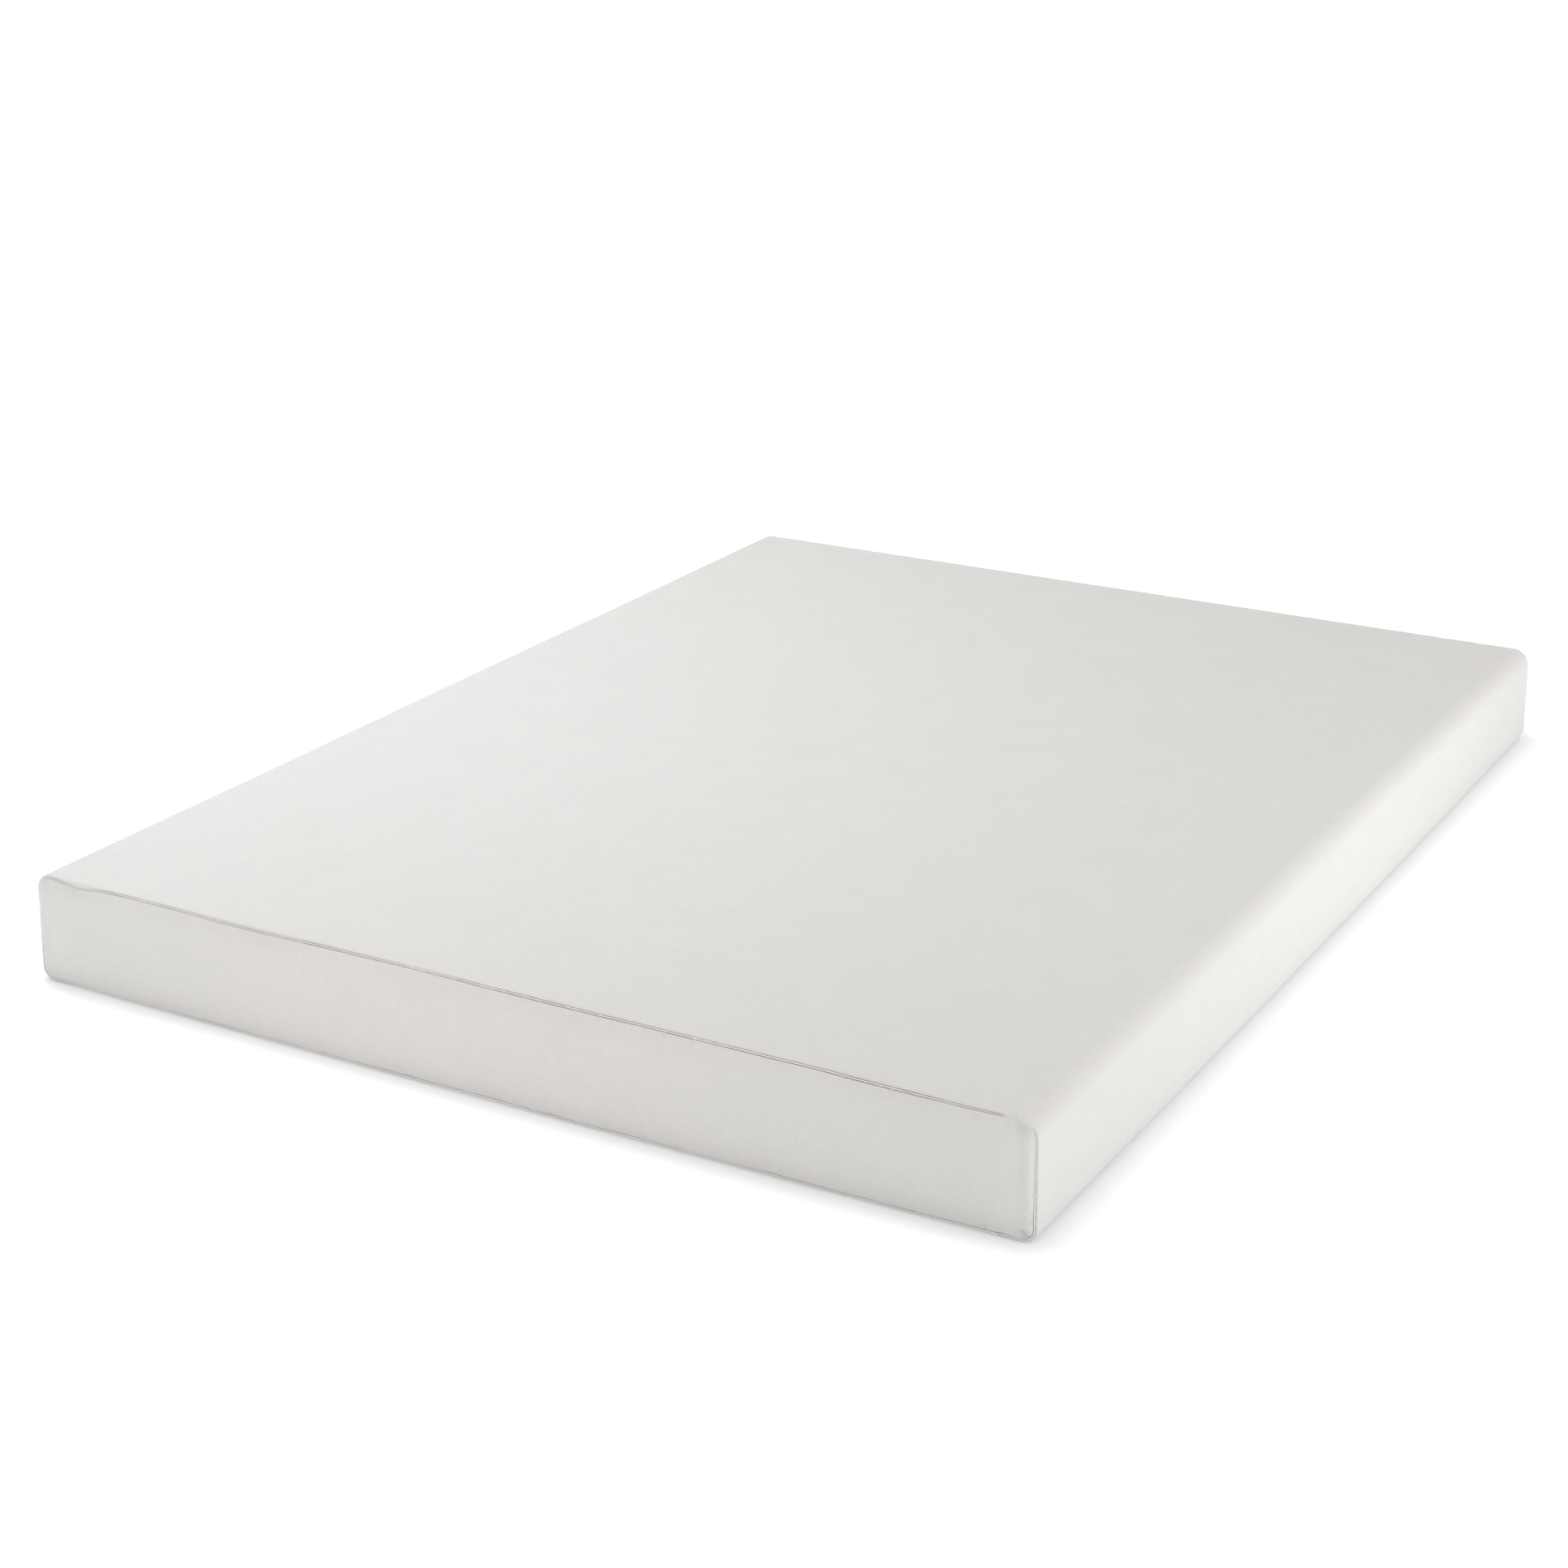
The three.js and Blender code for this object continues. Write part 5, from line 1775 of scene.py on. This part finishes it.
def floor_glow_with_painted_shadow(nodes, studio):
    """The floor's own light, which fades out close to the mattress to paint a contact shadow round it."""
    away = nodes.vector_math("ABSOLUTE", object_place(nodes))
    away = nodes.vector_math("SUBTRACT", away, (HALF_WIDTH - 0.02, FOOT_FACE - 0.02, 0.0))
    away = nodes.vector_math("MAXIMUM", away, (0.0, 0.0, 0.0))
    distance = nodes.add("ShaderNodeVectorMath", {0: away}, operation="LENGTH").outputs["Value"]
    # Painted shadow: the glow is at its near value beside the mattress and comes up to full glow over the
    # fade distance.
    fade = nodes.add(
        "ShaderNodeMapRange",
        {"Value": distance, 1: 0.02, 2: studio.fade, 3: studio.painted_shadow_glow, 4: studio.glow},
        interpolation_type="SMOOTHSTEP",
    )
    return fade.outputs[0]


def build_surroundings(studio):
    """Soft light from all round. The camera sees plain white there, like the floor."""
    world = bpy.data.worlds.new("Studio")
    world.use_nodes = True
    nodes = Nodes(world.node_tree)
    light = nodes.tree.nodes["Background"]
    light.inputs["Color"].default_value = (*SKY, 1.0)
    light.inputs["Strength"].default_value = studio.sky
    backdrop = nodes.add("ShaderNodeBackground", {"Color": (*WHITE, 1.0)})
    seen = nodes.add("ShaderNodeLightPath").outputs["Is Camera Ray"]
    either = nodes.add("ShaderNodeMixShader", {0: seen, 1: light.outputs[0], 2: backdrop.outputs[0]})
    nodes.tree.links.new(either.outputs[0], nodes.tree.nodes["World Output"].inputs["Surface"])
    bpy.context.scene.world = world


def build_floor(studio):
    """A plain pale floor that reads as white, with a painted contact shadow where its glow fades by the
    mattress.
    """
    mesh = bpy.data.meshes.new("studio_floor")
    corners = rectangle(-FLOOR_REACH, FLOOR_REACH, -FLOOR_REACH, FLOOR_REACH)
    mesh.from_pydata([(x, y, 0.0) for x, y in corners], [], [(0, 1, 2, 3)])
    floor = bpy.data.objects.new("studio_floor", mesh)
    bpy.context.scene.collection.objects.link(floor)
    finish, nodes, shader = new_material("Studio Floor", Roughness=1.0, Specular_IOR_Level=0.0)
    shader.inputs["Base Color"].default_value = shaded(studio.floor, 1.0)
    shader.inputs["Emission Color"].default_value = (*WHITE, 1.0)
    nodes.tree.links.new(floor_glow_with_painted_shadow(nodes, studio), shader.inputs["Emission Strength"])
    mesh.materials.append(finish)


def build_camera():
    scene = bpy.context.scene
    data = bpy.data.cameras.new("camera")
    data.lens, data.sensor_width = CAMERA_LENS, CAMERA_SENSOR
    data.shift_x, data.shift_y = CAMERA_SHIFT
    camera = bpy.data.objects.new("camera", data)
    camera.location = CAMERA_PLACE
    turn = Matrix.Rotation(math.radians(CAMERA_TURN), 3, "Z")
    tilt = Matrix.Rotation(math.radians(90 - CAMERA_TILT), 3, "X")
    roll = Matrix.Rotation(math.radians(CAMERA_ROLL), 3, "Z")
    camera.rotation_euler = (turn @ tilt @ roll).to_euler()
    scene.collection.objects.link(camera)
    scene.camera = camera


def build_studio():
    studio = settings("studio")
    bpy.context.scene.view_settings.view_transform = "Standard"
    build_surroundings(studio)
    build_floor(studio)
    area_light("left", (-2.6, 0.45, 1.9), (0, 0, 0.1), 1.6, studio.left, COOL)
    area_light("right", (3.94, -0.40, 0.80), (0, 0, 0.1), 1.6, studio.right, WHITE)
    area_light("side", (2.0, 0.2, 0.4), (0.76, 0.2, 0.08), 0.8, studio.side, WHITE)
    area_light("overhead", (-1.0, -0.6, 2.1), (-1.0, -0.6, 0.1), 1.2, studio.overhead, COOL)
    area_light("front", (-0.2, -2.0, 0.16), (-0.1, -1.0, 0.05), 0.6, studio.front, WARM)
    build_camera()


# ---------------------------------------------------------------- operators


class MATTRESS_OT_studio(bpy.types.Operator):
    """Floor, lights, surroundings and camera"""

    bl_idname = "mattress.studio"
    bl_label = "Studio"

    def execute(self, context):
        build_studio()
        return {"FINISHED"}


class MATTRESS_OT_foam(bpy.types.Operator):
    """The memory foam and the base foam under it"""

    bl_idname = "mattress.foam"
    bl_label = "Foam layers"

    def execute(self, context):
        memory = build_slab("memory_foam_slab", "memory_foam_layer", "comfort_foam", 101)
        base = build_slab("base_foam_slab", "base_foam_layer", "base_foam", 102)
        return {"FINISHED"}


class MATTRESS_OT_film(bpy.types.Operator):
    """The adhesive between the foam layers"""

    bl_idname = "mattress.film"
    bl_label = "Adhesive film"

    def execute(self, context):
        build_slab("adhesive_film_web", "adhesive_film", "adhesive", 103, 0.05)
        return {"FINISHED"}


class MATTRESS_OT_sock(bpy.types.Operator):
    """The knitted fire sock: its sleeve and both end closures"""

    bl_idname = "mattress.sock"
    bl_label = "Fire sock"

    def execute(self, context):
        build_sleeve()
        build_closure("fire_sock_foot_knit", "fire_sock_foot_closure", FOOT)
        build_closure("fire_sock_head_knit", "fire_sock_head_closure", HEAD)
        return {"FINISHED"}


class MATTRESS_OT_wrap(bpy.types.Operator):
    """The cover's knit over the top and both long sides"""

    bl_idname = "mattress.wrap"
    bl_label = "Cover wrap"

    def execute(self, context):
        build_wrap()
        return {"FINISHED"}


class MATTRESS_OT_bottom_panel(bpy.types.Operator):
    """The woven cloth of the underside"""

    bl_idname = "mattress.bottom_panel"
    bl_label = "Bottom panel"

    def execute(self, context):
        build_bottom_panel()
        return {"FINISHED"}


class MATTRESS_OT_end_panels(bpy.types.Operator):
    """The foot end's panel and the head end's two panels"""

    bl_idname = "mattress.end_panels"
    bl_label = "End panels"

    def execute(self, context):
        build_foot_panel()
        build_head_panel("head_panel_upper_knit", "cover_head_panel_upper", 1)
        build_head_panel("head_panel_lower_knit", "cover_head_panel_lower", -1)
        return {"FINISHED"}


class MATTRESS_OT_end_seams(bpy.types.Operator):
    """The overlocked seams round both ends"""

    bl_idname = "mattress.end_seams"
    bl_label = "End seams"

    def execute(self, context):
        tree = overlock_tree()
        build_end_seam("foot_seam_overlock", "foot_end_seam", FOOT, tree)
        build_end_seam("head_seam_overlock", "head_end_seam", HEAD, tree)
        return {"FINISHED"}


class MATTRESS_OT_bottom_seams(bpy.types.Operator):
    """The two flat seams under the mattress"""

    bl_idname = "mattress.bottom_seams"
    bl_label = "Bottom seams"

    def execute(self, context):
        for side in ("left", "right"):
            build_bottom_seam(f"bottom_seam_{side}_overlock", f"bottom_seam_{side}")
        return {"FINISHED"}


class MATTRESS_OT_zip_halves(bpy.types.Operator):
    """The zip's two tapes and two coils"""

    bl_idname = "mattress.zip_halves"
    bl_label = "Zip tapes and coils"

    def execute(self, context):
        tree = coil_tree()
        for side, word in ((1, "upper"), (-1, "lower")):
            build_tape(f"zip_tape_{word}_woven", f"zip_tape_{word}", side)
            build_coil(f"zip_coil_{word}_turns", f"zip_coil_{word}", side, tree)
        return {"FINISHED"}


class MATTRESS_OT_zip_stops(bpy.types.Operator):
    """The metal stops at both ends of the zip"""

    bl_idname = "mattress.zip_stops"
    bl_label = "Zip stops"

    def execute(self, context):
        for word in ("closed", "open"):
            build_stop(f"zip_stop_{word}_clip", f"zip_stop_{word}_end")
        return {"FINISHED"}


class MATTRESS_OT_zip_slider(bpy.types.Operator):
    """The slider that runs on the coils"""

    bl_idname = "mattress.zip_slider"
    bl_label = "Zip slider"

    def execute(self, context):
        build_slider()
        return {"FINISHED"}


class MATTRESS_OT_pull_tab(bpy.types.Operator):
    """The tab that swings on the slider"""

    bl_idname = "mattress.pull_tab"
    bl_label = "Pull tab"

    def execute(self, context):
        build_tab()
        return {"FINISHED"}


class MATTRESS_OT_hem_stitches(bpy.types.Operator):
    """The stitches beside the zip"""

    bl_idname = "mattress.hem_stitches"
    bl_label = "Zip stitches"

    def execute(self, context):
        build_hem_stitches()
        return {"FINISHED"}


class MATTRESS_OT_label(bpy.types.Operator):
    """The blank law label and its stitches"""

    bl_idname = "mattress.label"
    bl_label = "Law label"

    def execute(self, context):
        build_label()
        return {"FINISHED"}


class MATTRESS_PT_panel(bpy.types.Panel):
    """Sizes and colours, and a button for each piece or group of pieces"""

    bl_label = "Memory Foam Mattress"
    bl_idname = "MATTRESS_PT_panel"
    bl_space_type = "VIEW_3D"
    bl_region_type = "UI"
    bl_category = "Mattress"

    def draw(self, context):
        for group_name in SETTINGS:
            group = getattr(context.scene, group_name)
            box = self.layout.box()
            for name in group.bl_rna.properties.keys():
                if name not in {"rna_type", "name"}:
                    box.prop(group, name)
        for operator in OPERATORS:
            self.layout.operator(operator.bl_idname)


OPERATORS = (
    MATTRESS_OT_studio,
    MATTRESS_OT_foam,
    MATTRESS_OT_film,
    MATTRESS_OT_sock,
    MATTRESS_OT_wrap,
    MATTRESS_OT_bottom_panel,
    MATTRESS_OT_end_panels,
    MATTRESS_OT_end_seams,
    MATTRESS_OT_bottom_seams,
    MATTRESS_OT_zip_halves,
    MATTRESS_OT_zip_stops,
    MATTRESS_OT_zip_slider,
    MATTRESS_OT_pull_tab,
    MATTRESS_OT_hem_stitches,
    MATTRESS_OT_label,
)
CLASSES = (*SETTINGS.values(), *OPERATORS, MATTRESS_PT_panel)


def register():
    for cls in CLASSES:
        bpy.utils.register_class(cls)
    for name, group in SETTINGS.items():
        setattr(bpy.types.Scene, name, bpy.props.PointerProperty(type=group))


def unregister():
    for name in SETTINGS:
        delattr(bpy.types.Scene, name)
    for cls in reversed(CLASSES):
        bpy.utils.unregister_class(cls)


def main():
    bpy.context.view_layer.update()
    register()
    bpy.ops.mattress.studio()
    bpy.ops.mattress.foam()
    bpy.ops.mattress.film()
    bpy.ops.mattress.sock()
    bpy.ops.mattress.wrap()
    bpy.ops.mattress.bottom_panel()
    bpy.ops.mattress.end_panels()
    bpy.ops.mattress.end_seams()
    bpy.ops.mattress.bottom_seams()
    bpy.ops.mattress.zip_halves()
    bpy.ops.mattress.zip_stops()
    bpy.ops.mattress.zip_slider()
    bpy.ops.mattress.pull_tab()
    bpy.ops.mattress.hem_stitches()
    bpy.ops.mattress.label()


if __name__ == "__main__":
    main()
